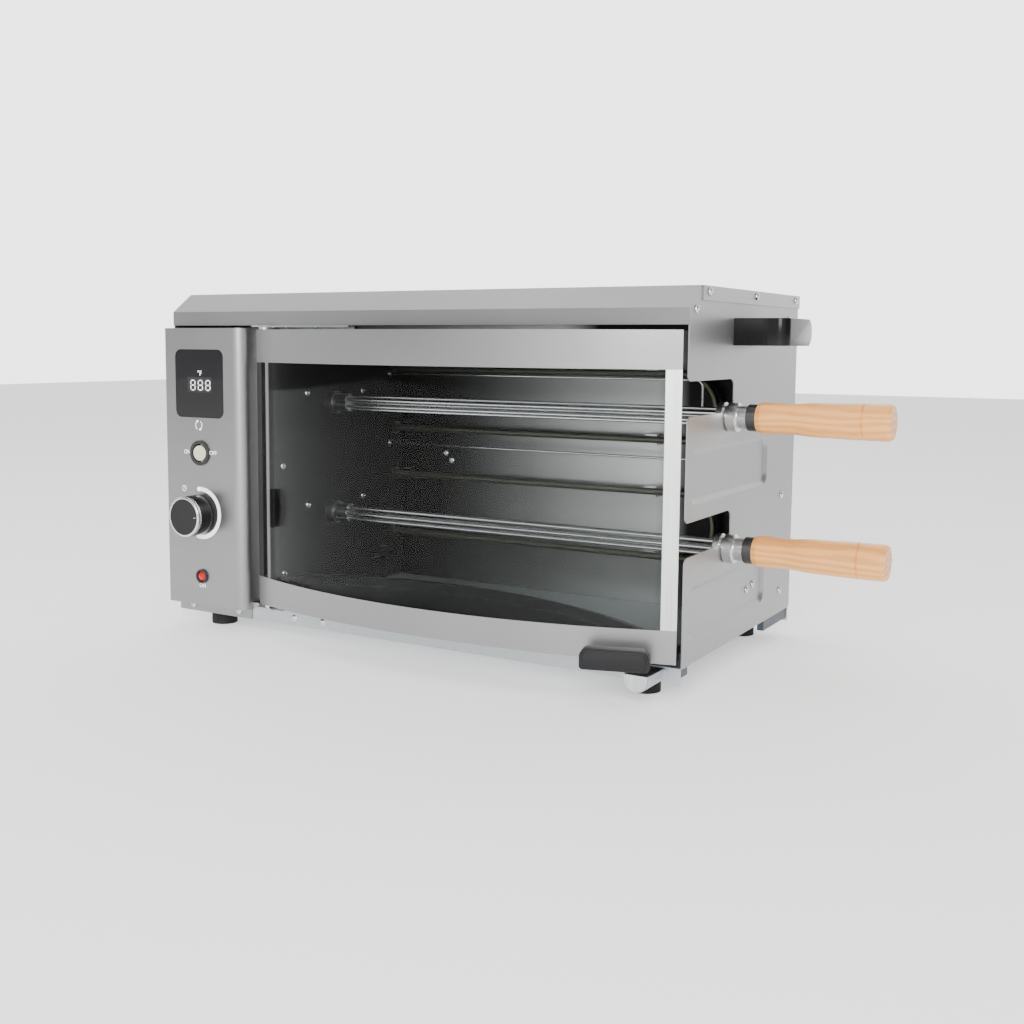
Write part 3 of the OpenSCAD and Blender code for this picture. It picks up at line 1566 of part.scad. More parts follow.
base_pan();
base_rails();
rubber_feet();
left_side_panel();
right_side_panel();
rear_panel();
top_cover();
control_panel();
partition_wall();
hinge_post();
cavity_back();
cavity_roof();
drip_tray();
drawer_runners();
drawer_trough();
drawer_front();
upper_heating_element();
lower_heating_element();
element_cradles();
guard_wire();
temperature_probe();
display_window();
display_board();
switch_bezel();
switch_rocker();
timer_knob();
timer_knob_ring();
timer_shaft();
timer_body();
lamp_bezel();
lamp_lens();
upper_gearmotor();
lower_gearmotor();
upper_drive_socket();
lower_drive_socket();
upper_skewer_rods();
lower_skewer_rods();
upper_skewer_collar();
lower_skewer_collar();
upper_skewer_ferrule();
lower_skewer_ferrule();
upper_skewer_handle();
lower_skewer_handle();
door_upper_band();
door_lower_band();
door_glass();
door_right_stile();
door_left_stile();
door_handle();
door_handle_posts();
door_glass_clips();
hinge_bushes();
hinge_pins();
hinge_brackets();
left_carry_handle();
right_carry_handle();
case_screws();
cord_gland();
terminal_block();
inner_wiring();
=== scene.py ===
import json
import math

import bmesh
import bpy
from mathutils import Matrix, Vector


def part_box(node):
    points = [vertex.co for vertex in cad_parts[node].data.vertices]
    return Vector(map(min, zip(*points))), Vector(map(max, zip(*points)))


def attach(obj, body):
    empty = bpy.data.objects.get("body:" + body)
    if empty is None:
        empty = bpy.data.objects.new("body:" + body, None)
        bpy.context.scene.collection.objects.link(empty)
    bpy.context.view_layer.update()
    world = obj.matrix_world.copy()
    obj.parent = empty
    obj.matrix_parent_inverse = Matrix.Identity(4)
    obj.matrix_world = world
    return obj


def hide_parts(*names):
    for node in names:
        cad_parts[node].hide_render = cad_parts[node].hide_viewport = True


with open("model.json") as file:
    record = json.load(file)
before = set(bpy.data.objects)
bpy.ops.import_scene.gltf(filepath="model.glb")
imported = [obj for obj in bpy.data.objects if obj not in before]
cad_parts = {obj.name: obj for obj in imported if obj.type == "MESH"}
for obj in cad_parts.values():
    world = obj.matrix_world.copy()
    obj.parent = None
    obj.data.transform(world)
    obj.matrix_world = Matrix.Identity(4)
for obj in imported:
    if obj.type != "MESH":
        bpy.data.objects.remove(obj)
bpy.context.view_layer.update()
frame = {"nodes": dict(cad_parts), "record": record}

MM = 0.001
FORWARD = (0, -1, 0)

# The middle of the case's front edge at the underside of the base
base_low, base_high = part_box("base_pan")
CASE = Vector(((base_low.x + base_high.x) / 2, base_low.y, base_low.z))

BODY_OF = {
    node: body
    for body, nodes in frame["record"]["behaviour"]["bodies"].items()
    for node in nodes
}


def case(x, y, z):
    """A place given in millimetres from the middle of the case's front edge."""
    return CASE + Vector((x, y, z)) * MM


# Camera, at the photograph's viewing angle
CAMERA_PLACE = case(611.32, -873.39, 264.67)
CAMERA_YAW = 0.5396
CAMERA_PITCH = 0.1042
CAMERA_ROLL = -0.0064
CAMERA_LENS = 43.0
CAMERA_SENSOR = 36
CAMERA_SHIFT = (0.02575, -0.04024)
CAMERA_NEAR, CAMERA_FAR = 0.05, 30


def make_camera():
    data = bpy.data.cameras.new("camera")
    data.sensor_width = CAMERA_SENSOR
    data.lens = CAMERA_LENS
    data.shift_x, data.shift_y = CAMERA_SHIFT
    data.clip_start, data.clip_end = CAMERA_NEAR, CAMERA_FAR
    camera = bpy.data.objects.new("camera", data)
    bpy.context.scene.collection.objects.link(camera)
    turn = Matrix.Rotation(CAMERA_YAW, 4, "Z")
    tip = Matrix.Rotation(math.pi / 2 - CAMERA_PITCH, 4, "X")
    roll = Matrix.Rotation(-CAMERA_ROLL, 4, "Z")
    camera.matrix_world = Matrix.Translation(CAMERA_PLACE) @ turn @ tip @ roll
    bpy.context.scene.camera = camera


# Stage: a plain pale floor and soft light
FLOOR_SIZE = 12.0
FLOOR_COLOUR = (0.88, 0.88, 0.88)
FLOOR_ROUGHNESS = 0.9
FLOOR_SHINE = 0.1
FLOOR_GLOW = 0.6
WORLD_COLOUR = (1.0, 1.0, 1.0)
FRONT_LIGHT = 0.3
REAR_LIGHT = 3.4
REAR_DIRECTION = (-0.51, 0.86, 0.0)
WINDOW_LIGHT = 1.1
WINDOW_DIRECTION = (0.37, -0.93, 0.05)
LIGHT_TARGET = (0, 0, 0.15)
# Name, place and size in metres, power in watts
SOFTBOXES = [
    ("key", (0.9, -2.2, 1.1), (1.2, 1.2), 65),
    ("top", (0, -0.2, 2.4), (2.4, 1.6), 22),
    ("left_fill", (-2.4, -1.2, 1.0), (1.6, 1.6), 6),
]


def softbox(name, place, size, power):
    data = bpy.data.lights.new(name, "AREA")
    data.shape = "RECTANGLE"
    data.size, data.size_y = size
    data.energy = power
    light = bpy.data.objects.new(name, data)
    bpy.context.scene.collection.objects.link(light)
    light.location = place
    towards = Vector(LIGHT_TARGET) - Vector(place)
    light.rotation_euler = towards.to_track_quat("-Z", "Y").to_euler()


def glow_towards(world, direction, start, full, low, high):
    """Studio light that rises smoothly towards a direction."""
    place = add_node(world, "ShaderNodeTexCoord")
    along = add_node(world, "ShaderNodeVectorMath", operation="DOT_PRODUCT")
    along.inputs[1].default_value = direction
    spread = add_node(world, "ShaderNodeMapRange", interpolation_type="SMOOTHSTEP")
    spread.inputs["From Min"].default_value = start
    spread.inputs["From Max"].default_value = full
    spread.inputs["To Min"].default_value = low
    spread.inputs["To Max"].default_value = high
    join(world, place.outputs["Generated"], along.inputs[0])
    join(world, along.outputs["Value"], spread.inputs["Value"])
    return spread.outputs["Result"]


def make_stage():
    bpy.ops.object.select_all(action="DESELECT")
    bpy.ops.mesh.primitive_plane_add(size=FLOOR_SIZE, location=(0, 0, 0))
    floor = bpy.context.active_object
    floor.name = "floor"
    paint = bpy.data.materials.new("floor_paint")
    paint.use_nodes = True
    shader = shader_of(paint)
    shader.inputs["Base Color"].default_value = (*FLOOR_COLOUR, 1)
    shader.inputs["Roughness"].default_value = FLOOR_ROUGHNESS
    shader.inputs["Specular IOR Level"].default_value = FLOOR_SHINE
    shader.inputs["Emission Color"].default_value = (1, 1, 1, 1)
    shader.inputs["Emission Strength"].default_value = FLOOR_GLOW
    floor.data.materials.append(paint)
    world = bpy.data.worlds.new("studio")
    bpy.context.scene.world = world
    world.use_nodes = True
    sky = world.node_tree.nodes["Background"]
    sky.inputs["Color"].default_value = (*WORLD_COLOUR, 1)
    rear = glow_towards(world, REAR_DIRECTION, 0.2, 0.85, FRONT_LIGHT, REAR_LIGHT)
    window = glow_towards(world, WINDOW_DIRECTION, 0.35, 1.0, 0.0, WINDOW_LIGHT)
    both = add_node(world, "ShaderNodeMath", operation="ADD")
    join(world, rear, both.inputs[0])
    join(world, window, both.inputs[1])
    join(world, both.outputs["Value"], sky.inputs["Strength"])
    for name, place, size, power in SOFTBOXES:
        softbox(name, place, size, power)


# Materials
def new_material(name, colour, roughness, metallic=0.0, **sockets):
    """A finish with its even values on the shader's own sockets."""
    material = bpy.data.materials.new(name)
    material.use_nodes = True
    shader = shader_of(material)
    shader.inputs["Base Color"].default_value = (*colour, 1)
    shader.inputs["Roughness"].default_value = roughness
    shader.inputs["Metallic"].default_value = metallic
    for socket, value in sockets.items():
        shader.inputs[socket.replace("_", " ")].default_value = value
    return material


def shader_of(material):
    return material.node_tree.nodes["Principled BSDF"]


def add_node(material, kind, **values):
    """A new node; each value goes to the socket of its name, or else to the node's setting."""
    node = material.node_tree.nodes.new(kind)
    for name, value in values.items():
        if name in node.inputs:
            node.inputs[name].default_value = value
        else:
            setattr(node, name, value)
    return node


def join(material, source, target):
    material.node_tree.links.new(source, target)


def grain(material, scale, stretch=(1, 1, 1), detail=4.0, kind="ShaderNodeTexNoise"):
    """A noise pattern on the piece's own place, stretched along an axis."""
    place = add_node(material, "ShaderNodeTexCoord")
    mapping = add_node(material, "ShaderNodeMapping", Scale=stretch)
    noise = add_node(material, kind, Scale=scale)
    if "Detail" in noise.inputs:
        noise.inputs["Detail"].default_value = detail
    join(material, place.outputs["Object"], mapping.inputs["Vector"])
    join(material, mapping.outputs["Vector"], noise.inputs["Vector"])
    return noise.outputs[0]


def colour_stops(material, pattern, stops):
    """A colour ramp along a pattern; stops are (place, colour)."""
    ramp = add_node(material, "ShaderNodeValToRGB")
    elements = ramp.color_ramp.elements
    while len(elements) < len(stops):
        elements.new(0.5)
    for element, (place, colour) in zip(elements, stops):
        element.position = place
        element.color = (*colour, 1)
    join(material, pattern, ramp.inputs["Fac"])
    return ramp.outputs["Color"]


def tint(material, pattern, stops):
    colours = colour_stops(material, pattern, stops)
    join(material, colours, shader_of(material).inputs["Base Color"])


def vary_roughness(material, pattern, low, high):
    spread = add_node(material, "ShaderNodeMapRange")
    spread.inputs["To Min"].default_value = low
    spread.inputs["To Max"].default_value = high
    join(material, pattern, spread.inputs["Value"])
    join(material, spread.outputs["Result"], shader_of(material).inputs["Roughness"])


def relief(material, pattern, strength, depth):
    bump = add_node(material, "ShaderNodeBump", Strength=strength, Distance=depth)
    join(material, pattern, bump.inputs["Height"])
    join(material, bump.outputs["Normal"], shader_of(material).inputs["Normal"])


def shade(colour, factor):
    return tuple(c * factor for c in colour)


def sheet_finish(name, colour, roughness, metallic):
    """Rolled sheet: faint clouds in colour and shine, and a fine orange-peel relief."""
    material = new_material(name, colour, roughness, metallic)
    clouds = grain(material, 9.0, detail=3.0)
    tint(material, clouds, [(0.3, shade(colour, 0.95)), (0.7, shade(colour, 1.05))])
    vary_roughness(material, clouds, roughness - 0.03, roughness + 0.04)
    relief(material, grain(material, 900.0, detail=2.0), 0.05, 0.0001)
    return material


def along_width(material, low_x, high_x):
    """Runs from 0 to 1 between two places across the case, in millimetres."""
    place = add_node(material, "ShaderNodeTexCoord")
    parts = add_node(material, "ShaderNodeSeparateXYZ")
    spread = add_node(material, "ShaderNodeMapRange")
    spread.inputs["From Min"].default_value = case(low_x, 0, 0).x
    spread.inputs["From Max"].default_value = case(high_x, 0, 0).x
    join(material, place.outputs["Object"], parts.inputs["Vector"])
    join(material, parts.outputs["X"], spread.inputs["Value"])
    return spread.outputs["Result"]


def painted_light_sheet_finish(name, greys, roughness, low_x=-145, high_x=262):
    """Inner sheet with painted light and painted shade across the case; greys are (share of the
    way from low_x to high_x, grey).
    """
    material = new_material(name, (0.4, 0.4, 0.4), roughness, 0.9)
    stops = [(place, (grey, grey, grey * 0.97)) for place, grey in greys]
    tint(material, along_width(material, low_x, high_x), stops)
    vary_roughness(material, grain(material, 14.0), roughness - 0.06, roughness + 0.08)
    return material


def zinc_finish(name, colour, roughness):
    """Galvanised sheet with its crystals."""
    material = new_material(name, colour, roughness, 0.85)
    crystals = grain(material, 160.0, kind="ShaderNodeTexVoronoi")
    tint(material, crystals, [(0.0, shade(colour, 0.86)), (0.7, shade(colour, 1.1))])
    vary_roughness(material, grain(material, 60.0), roughness - 0.08, roughness + 0.08)
    return material


def turned_finish(name, colour, roughness, stretch):
    """Drawn or turned metal with fine lines across the stretch."""
    material = new_material(name, colour, roughness, 1.0)
    lines = grain(material, 500.0, stretch=stretch, detail=2.0)
    tint(material, lines, [(0.3, shade(colour, 0.9)), (0.7, shade(colour, 1.06))])
    vary_roughness(material, lines, roughness - 0.05, roughness + 0.06)
    return material


def plastic_finish(name, colour, roughness, coat=0.0, texture=0.02, shine=0.3):
    """Moulded plastic with a fine skin."""
    material = new_material(
        name, colour, roughness, Coat_Weight=coat, Specular_IOR_Level=shine
    )
    skin = grain(material, 1400.0, detail=2.0)
    clouds = grain(material, 30.0)
    tint(material, clouds, [(0.3, shade(colour, 0.92)), (0.7, shade(colour, 1.08))])
    vary_roughness(material, grain(material, 45.0), roughness - 0.03, roughness + 0.05)
    relief(material, skin, texture, 0.0001)
    return material


def wood_finish(name, pale, dark):
    """Turned hardwood: long wandering rings along X, with fine darker pores."""
    material = new_material(name, pale, 0.38, Coat_Weight=0.2, Coat_Roughness=0.25)
    place = add_node(material, "ShaderNodeTexCoord")
    mapping = add_node(
        material, "ShaderNodeMapping", Scale=(0.18, 1.0, 1.0), Location=(0.0, 0.006, 0.004)
    )
    rings = add_node(material, "ShaderNodeTexWave", Scale=52.0, Distortion=7.0, Detail=3.0)
    rings.wave_type = "RINGS"
    rings.rings_direction = "X"
    rings.inputs["Detail Scale"].default_value = 1.4
    join(material, place.outputs["Object"], mapping.inputs["Vector"])
    join(material, mapping.outputs["Vector"], rings.inputs["Vector"])
    stops = [(0.1, dark), (0.45, pale), (0.9, shade(pale, 1.14))]
    tint(material, rings.outputs["Fac"], stops)
    pores = grain(material, 900.0, stretch=(0.04, 1, 1), detail=3.0)
    vary_roughness(material, pores, 0.34, 0.5)
    relief(material, pores, 0.15, 0.0002)
    return material


def clear_glass(name, tone):
    """Curved glass: what is behind shows, with a mirror shine towards its edges."""
    material = bpy.data.materials.new(name)
    material.use_nodes = True
    nodes = material.node_tree.nodes
    nodes.remove(nodes["Principled BSDF"])
    through = add_node(material, "ShaderNodeBsdfTransparent", Color=(*tone, 1))
    shine = add_node(material, "ShaderNodeBsdfGlossy", Roughness=0.03)
    facing = add_node(material, "ShaderNodeLayerWeight", Blend=0.5)
    curve = add_node(material, "ShaderNodeMath", operation="POWER")
    curve.inputs[1].default_value = 5.0
    share = add_node(material, "ShaderNodeMapRange")
    share.inputs["To Min"].default_value = 0.008
    share.inputs["To Max"].default_value = 0.9
    blend = add_node(material, "ShaderNodeMixShader")
    join(material, facing.outputs["Facing"], curve.inputs[0])
    join(material, curve.outputs["Value"], share.inputs["Value"])
    join(material, share.outputs["Result"], blend.inputs[0])
    join(material, through.outputs["BSDF"], blend.inputs[1])
    join(material, shine.outputs["BSDF"], blend.inputs[2])
    join(material, blend.outputs["Shader"], nodes["Material Output"].inputs["Surface"])
    return material


# Shares of the width and greys of the painted light and painted shade on the inner sheets
# Cavity back: painted shade darker towards the left, a painted reflection as the bright band,
# and painted shade again at the right end
BACK_PAINTED_SHADE_AND_REFLECTION = [(0.0, 0.006), (0.12, 0.02), (0.4, 0.16), (0.73, 0.48), (0.81, 0.01)]
# Hinge post: painted light on the part seen beside the control panel, painted shade on the part
# behind the glass
POST_PAINTED_LIGHT_AND_SHADE = [(0.0, 0.5), (0.42, 0.5), (0.5, 0.012), (1.0, 0.012)]
# Drip tray: painted shade, darker towards the left
TRAY_PAINTED_SHADE = [(0.0, 0.01), (0.35, 0.03), (0.8, 0.15), (1.0, 0.2)]
# Partition wall: near black all over, painted shade
PAINTED_SHADE_WALL_GREYS = [(0.0, 0.006), (1.0, 0.006)]

# One finish for each material slot of the record
FINISHES = {
    "satin_sheet": sheet_finish("satin_sheet", (0.3, 0.3, 0.3), 0.34, 0.9),
    "side_sheet": sheet_finish("side_sheet", (0.34, 0.34, 0.34), 0.4, 0.85),
    "galvanised": zinc_finish("galvanised", (0.45, 0.48, 0.5), 0.4),
    "inner_sheet": painted_light_sheet_finish("inner_sheet", BACK_PAINTED_SHADE_AND_REFLECTION, 0.32),
    "post_sheet": painted_light_sheet_finish("post_sheet", POST_PAINTED_LIGHT_AND_SHADE, 0.45, -170, -145),
    "stile_aluminium": turned_finish(
        "stile_aluminium", (0.68, 0.69, 0.7), 0.36, (1, 1, 0.02)
    ),
    "tray_steel": painted_light_sheet_finish("tray_steel", TRAY_PAINTED_SHADE, 0.3),
    "dark_rail": sheet_finish("dark_rail", (0.05, 0.065, 0.085), 0.45, 0.3),
    "foot_rubber": plastic_finish("foot_rubber", (0.012, 0.012, 0.012), 0.75, texture=0.15),
    "oven_glass": clear_glass("oven_glass", (0.95, 0.965, 0.965)),
    "black_glass": plastic_finish(
        "black_glass", (0.008, 0.008, 0.009), 0.2, coat=0.2, texture=0.0
    ),
    "gloss_black": plastic_finish(
        "gloss_black", (0.004, 0.004, 0.004), 0.18, coat=0.03, texture=0.01, shine=0.22
    ),
    "satin_black": plastic_finish("satin_black", (0.008, 0.008, 0.009), 0.4, texture=0.06),
    "bezel_plastic": plastic_finish("bezel_plastic", (0.03, 0.03, 0.03), 0.4),
    "cream_plastic": plastic_finish("cream_plastic", (0.72, 0.66, 0.5), 0.35),
    "red_lens": plastic_finish("red_lens", (0.6, 0.003, 0.003), 0.1, coat=0.2, texture=0.0),
    "bright_steel": turned_finish("bright_steel", (0.72, 0.72, 0.72), 0.22, (0.05, 1, 1)),
    "socket_steel": turned_finish("socket_steel", (0.2, 0.2, 0.2), 0.3, (1, 1, 1)),
    "element_coat": turned_finish("element_coat", (0.12, 0.12, 0.09), 0.45, (0.05, 1, 1)),
    "ferrule_dark": turned_finish("ferrule_dark", (0.1, 0.1, 0.1), 0.35, (1, 0.3, 0.3)),
    "handle_wood": wood_finish("handle_wood", (0.82, 0.37, 0.095), (0.75, 0.31, 0.075)),
    "motor_steel": sheet_finish("motor_steel", (0.5, 0.5, 0.5), 0.4, 0.9),
    "board_green": plastic_finish("board_green", (0.02, 0.12, 0.05), 0.5),
    "lead_sleeve": plastic_finish("lead_sleeve", (0.22, 0.08, 0.03), 0.7),
}

# Finishes that differ from their slot's
# The partition wall's finish: near black and with little shine, painted shade
WALL_PAINTED_SHADE = painted_light_sheet_finish("wall_painted_shade", PAINTED_SHADE_WALL_GREYS, 0.6)
shader_of(WALL_PAINTED_SHADE).inputs["Metallic"].default_value = 0.0
shader_of(WALL_PAINTED_SHADE).inputs["Specular IOR Level"].default_value = 0.12
BRACKET_ZINC = zinc_finish("bracket_zinc", (0.4, 0.42, 0.44), 0.4)
# The door's left stile: an aluminium strip finished near black as painted shade
STILE_PAINTED_SHADE = sheet_finish("stile_painted_shade", (0.03, 0.03, 0.03), 0.4, 0.5)
TURNED_STEEL = turned_finish("turned_steel", (0.62, 0.62, 0.62), 0.27, (60, 1, 1))
KNOB_FACE = plastic_finish("knob_face", (0.012, 0.012, 0.012), 0.45, texture=0.05)
GLOWING_WHITE_PRINT = plastic_finish("glowing_white_print", (0.95, 0.95, 0.95), 0.5, texture=0.0)
# The print's emission is painted light: it makes the white print glow
shader_of(GLOWING_WHITE_PRINT).inputs["Emission Color"].default_value = (1, 1, 1, 1)
shader_of(GLOWING_WHITE_PRINT).inputs["Emission Strength"].default_value = 0.8
DISPLAY_FIELD = plastic_finish("display_field", (0.025, 0.025, 0.028), 0.4, texture=0.0)

NODE_FINISHES = {
    "upper_skewer_collar": TURNED_STEEL,
    "lower_skewer_collar": TURNED_STEEL,
    "door_left_stile": STILE_PAINTED_SHADE,
    "partition_wall": WALL_PAINTED_SHADE,
    "hinge_brackets": BRACKET_ZINC,
}


def dress_cad_nodes():
    """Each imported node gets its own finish, or the one of its material slot."""
    for part in frame["record"]["subparts"]:
        name = part["node"]
        finish = NODE_FINISHES.get(name, FINISHES[part["material_slot"]])
        materials = frame["nodes"][name].data.materials
        materials.clear()
        materials.append(finish)


# Modelling steps
MERGE_DISTANCE = 0.000001


def deselect():
    if bpy.context.mode != "OBJECT":
        bpy.ops.object.mode_set(mode="OBJECT")
    bpy.ops.object.select_all(action="DESELECT")


def take(piece):
    deselect()
    piece.select_set(True)
    bpy.context.view_layer.objects.active = piece


def open_mesh(piece):
    take(piece)
    bpy.ops.object.mode_set(mode="EDIT")
    bpy.ops.mesh.select_mode(type="FACE")
    bpy.ops.mesh.select_all(action="SELECT")


def pick(piece, kind, test):
    """Selects the faces or edges that pass a test."""
    bpy.ops.mesh.select_all(action="DESELECT")
    bpy.ops.mesh.select_mode(type="FACE" if kind == "faces" else "EDGE")
    mesh = bmesh.from_edit_mesh(piece.data)
    for part in getattr(mesh, kind):
        if test(part):
            part.select_set(True)
    bmesh.update_edit_mesh(piece.data)


def push(x, y, z):
    """Extrudes what is selected by a way in millimetres."""
    way = {"value": (x * MM, y * MM, z * MM)}
    bpy.ops.mesh.extrude_region_move(TRANSFORM_OT_translate=way)


def set_form(location=False, rotation=False, scale=False):
    """Moves the active piece's place, turn or scale into its mesh."""
    bpy.ops.object.transform_apply(location=location, rotation=rotation, scale=scale)


def turned(name, stations, sides=96):
    """A closed body about Z, drawn up from a disc through (height, radius) stations."""
    deselect()
    height, radius = stations[0]
    bpy.ops.mesh.primitive_circle_add(
        vertices=sides, radius=radius * MM, fill_type="NGON", location=(0, 0, height * MM)
    )
    piece = bpy.context.active_object
    piece.name = name
    set_form(location=True)
    open_mesh(piece)
    for next_height, next_radius in stations[1:]:
        push(0, 0, next_height - height)
        grow = next_radius / radius
        bpy.ops.transform.resize(value=(grow, grow, 1))
        height, radius = next_height, next_radius
    bpy.ops.object.mode_set(mode="OBJECT")
    return piece


def block(name, size, bevel=0.0, steps=3):
    """A block of a size in millimetres about its middle, with rounded edges."""
    deselect()
    bpy.ops.mesh.primitive_cube_add(size=1, location=(0, 0, 0))
    piece = bpy.context.active_object
    piece.name = name
    piece.scale = Vector(size) * MM
    set_form(scale=True)
    if bevel:
        open_mesh(piece)
        pick(piece, "edges", lambda edge: True)
        bpy.ops.mesh.bevel(offset=bevel * MM, segments=steps, affect="EDGES")
        bpy.ops.object.mode_set(mode="OBJECT")
    return piece


def put(piece, place, axis=None):
    """Turns the piece's Z to an axis, if one is given, and moves it to a place on the case."""
    take(piece)
    if axis:
        piece.rotation_euler = Vector(axis).to_track_quat("Z", "Y").to_euler()
    piece.location = case(*place)
    set_form(location=True, rotation=True, scale=True)
    return piece


def shift(piece, x, y, turn=0.0, up=0.0):
    """Turns a piece about Z, in degrees, and moves it about its own origin."""
    take(piece)
    piece.rotation_euler = (0, 0, math.radians(turn))
    piece.location = (x * MM, y * MM, up * MM)
    set_form(location=True, rotation=True, scale=True)
    return piece


def copy_of(piece, name):
    twin = bpy.data.objects.new(name, piece.data.copy())
    bpy.context.scene.collection.objects.link(twin)
    twin.matrix_world = piece.matrix_world.copy()
    return twin


def weld(pieces, name):
    """Joins pieces into one mesh object."""
    deselect()
    for piece in pieces:
        piece.select_set(True)
    bpy.context.view_layer.objects.active = pieces[0]
    bpy.ops.object.join()
    pieces[0].name = name
    return pieces[0]


def close(piece):
    """Merges doubles and turns every face outwards."""
    open_mesh(piece)
    bpy.ops.mesh.remove_doubles(threshold=MERGE_DISTANCE)
    bpy.ops.mesh.normals_make_consistent(inside=False)
    bpy.ops.object.mode_set(mode="OBJECT")


def finish_piece(piece, body, slot, finish=None, smooth=35, replaces=()):
    """Closes and shades a piece, and gives it its finish, its body and what it stands for."""
    close(piece)
    take(piece)
    bpy.ops.object.shade_smooth_by_angle(angle=math.radians(smooth))
    piece.data.materials.clear()
    piece.data.materials.append(finish or FINISHES[slot])
    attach(piece, body)
    if replaces:
        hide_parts(*replaces)
    return piece


def apply_modifiers(piece):
    take(piece)
    for modifier in list(piece.modifiers):
        bpy.ops.object.modifier_apply(modifier=modifier.name)


def carve(piece, cutter):
    """Takes the cutter's shape out of the piece."""
    cut = piece.modifiers.new("cut", "BOOLEAN")
    cut.object = cutter
    cut.operation = "DIFFERENCE"
    cut.solver = "EXACT"
    apply_modifiers(piece)
    bpy.data.objects.remove(cutter)


def round_edges(piece, width, steps, angle):
    """Rounds the edges that are sharper than an angle in degrees."""
    bevel = piece.modifiers.new("round_edges", "BEVEL")
    bevel.width = width * MM
    bevel.segments = steps
    bevel.limit_method = "ANGLE"
    bevel.angle_limit = math.radians(angle)
    apply_modifiers(piece)


def make_door_handle():
    """The door handle's own form with its sharp edges rounded."""
    node = "door_handle"
    piece = bpy.data.objects.new(node + "_rounded", frame["nodes"][node].data.copy())
    bpy.context.scene.collection.objects.link(piece)
    open_mesh(piece)
    bpy.ops.mesh.remove_doubles(threshold=0.00001)
    bpy.ops.mesh.dissolve_limited(angle_limit=math.radians(1.0))
    bpy.ops.object.mode_set(mode="OBJECT")
    round_edges(piece, 1.6, 4, 32)
    finish_piece(piece, BODY_OF[node], "satin_black", replaces=(node,))


# Timer knob
KNOB_X, KNOB_Z = -223, 98.9
KNOB_R = 19.2
KNOB_FACE_Y, KNOB_REAR_Y = -36.5, -17.1
KNOB_PLACE = (KNOB_X, KNOB_REAR_Y, KNOB_Z)


def make_timer_knob():
    depth = KNOB_REAR_Y - KNOB_FACE_Y
    body = turned("timer_knob_body", [
        (0, KNOB_R - 1.6), (0, KNOB_R - 0.6), (0.6, KNOB_R), (depth - 5.4, KNOB_R),
        (depth - 5.2, KNOB_R - 0.5), (depth - 4.6, KNOB_R - 0.5), (depth - 4.4, KNOB_R - 2.2),
    ])
    put(body, KNOB_PLACE, FORWARD)
    finish_piece(body, "timer", "gloss_black", replaces=("timer_knob",))
    ring = turned("timer_knob_rim", [
        (depth - 4.5, KNOB_R - 2.4), (depth - 4.5, KNOB_R - 0.3), (depth - 3.9, KNOB_R),
        (depth - 1.2, KNOB_R), (depth - 0.5, KNOB_R - 0.35), (depth - 0.1, KNOB_R - 1.0),
        (depth, KNOB_R - 1.7), (depth - 0.15, KNOB_R - 2.1), (depth - 1.8, KNOB_R - 2.3),
    ])
    put(ring, KNOB_PLACE, FORWARD)
    finish_piece(ring, "timer", "bright_steel", replaces=("timer_knob_ring",))
    face = turned("timer_knob_cap", [
        (depth - 1.4, KNOB_R - 2.4), (depth - 0.5, KNOB_R - 2.2), (depth - 0.3, KNOB_R - 2.5),
        (depth - 0.5, KNOB_R - 7), (depth - 0.6, KNOB_R - 15),
    ])
    put(face, KNOB_PLACE, FORWARD)
    finish_piece(face, "timer", "gloss_black", KNOB_FACE, smooth=20)
    mark = block("timer_knob_mark", (2.4, 0.9, 0.5), 0.2, 2)
    put(mark, (KNOB_X + KNOB_R - 5.4, KNOB_FACE_Y + 0.35, KNOB_Z), FORWARD)
    finish_piece(mark, "timer", "bright_steel")


# Print on the control panel, in millimetres
PANEL_Y = -12.5
DISPLAY_Y = -12.2
PRINT_LIFT = 0.06
PRINT_T = 0.05
CAPITAL_SHARE = 0.7
SEED_WIDTH = 0.02
# A disc of radius 1 with three sides is this wide and this long
TRIANGLE_WIDE, TRIANGLE_LONG = 1.732, 1.5
# A disc of radius 1 with six sides is this wide
HEXAGON_WIDE = 1.732
DIGIT_TALL, DIGIT_WIDE, DIGIT_STROKE = 4.6, 4.6, 0.95
DIGIT_GAP = 0.4
DIGIT_BAR_SHARE = 0.94


def print_arc(name, radius, width, start, end, steps, round_start=False):
    """A flat band of an arc; angles run clockwise from twelve, in degrees."""
    deselect()
    bpy.ops.mesh.primitive_plane_add(size=1, location=(0, radius * MM, 0))
    piece = bpy.context.active_object
    piece.name = name
    piece.scale = (SEED_WIDTH * MM, width * MM, 1)
    set_form(location=True, scale=True)
    open_mesh(piece)
    pick(piece, "edges", lambda edge: all(vert.co.x > 0 for vert in edge.verts))
    bpy.ops.mesh.spin(
        steps=steps, angle=math.radians(end - start), center=(0, 0, 0), axis=(0, 0, 1),
        dupli=False,
    )
    bpy.ops.mesh.select_all(action="SELECT")
    bpy.ops.object.mode_set(mode="OBJECT")
    piece.rotation_euler = (0, 0, -math.radians(start))
    take(piece)
    set_form(location=True, rotation=True, scale=True)
    if round_start:
        angle = math.radians(start)
        bpy.ops.mesh.primitive_circle_add(
            vertices=24, radius=width / 2 * MM, fill_type="NGON",
            location=(radius * math.sin(angle) * MM, radius * math.cos(angle) * MM, 0),
        )
        cap = bpy.context.active_object
        set_form(location=True)
        piece = weld([piece, cap], name)
    return piece


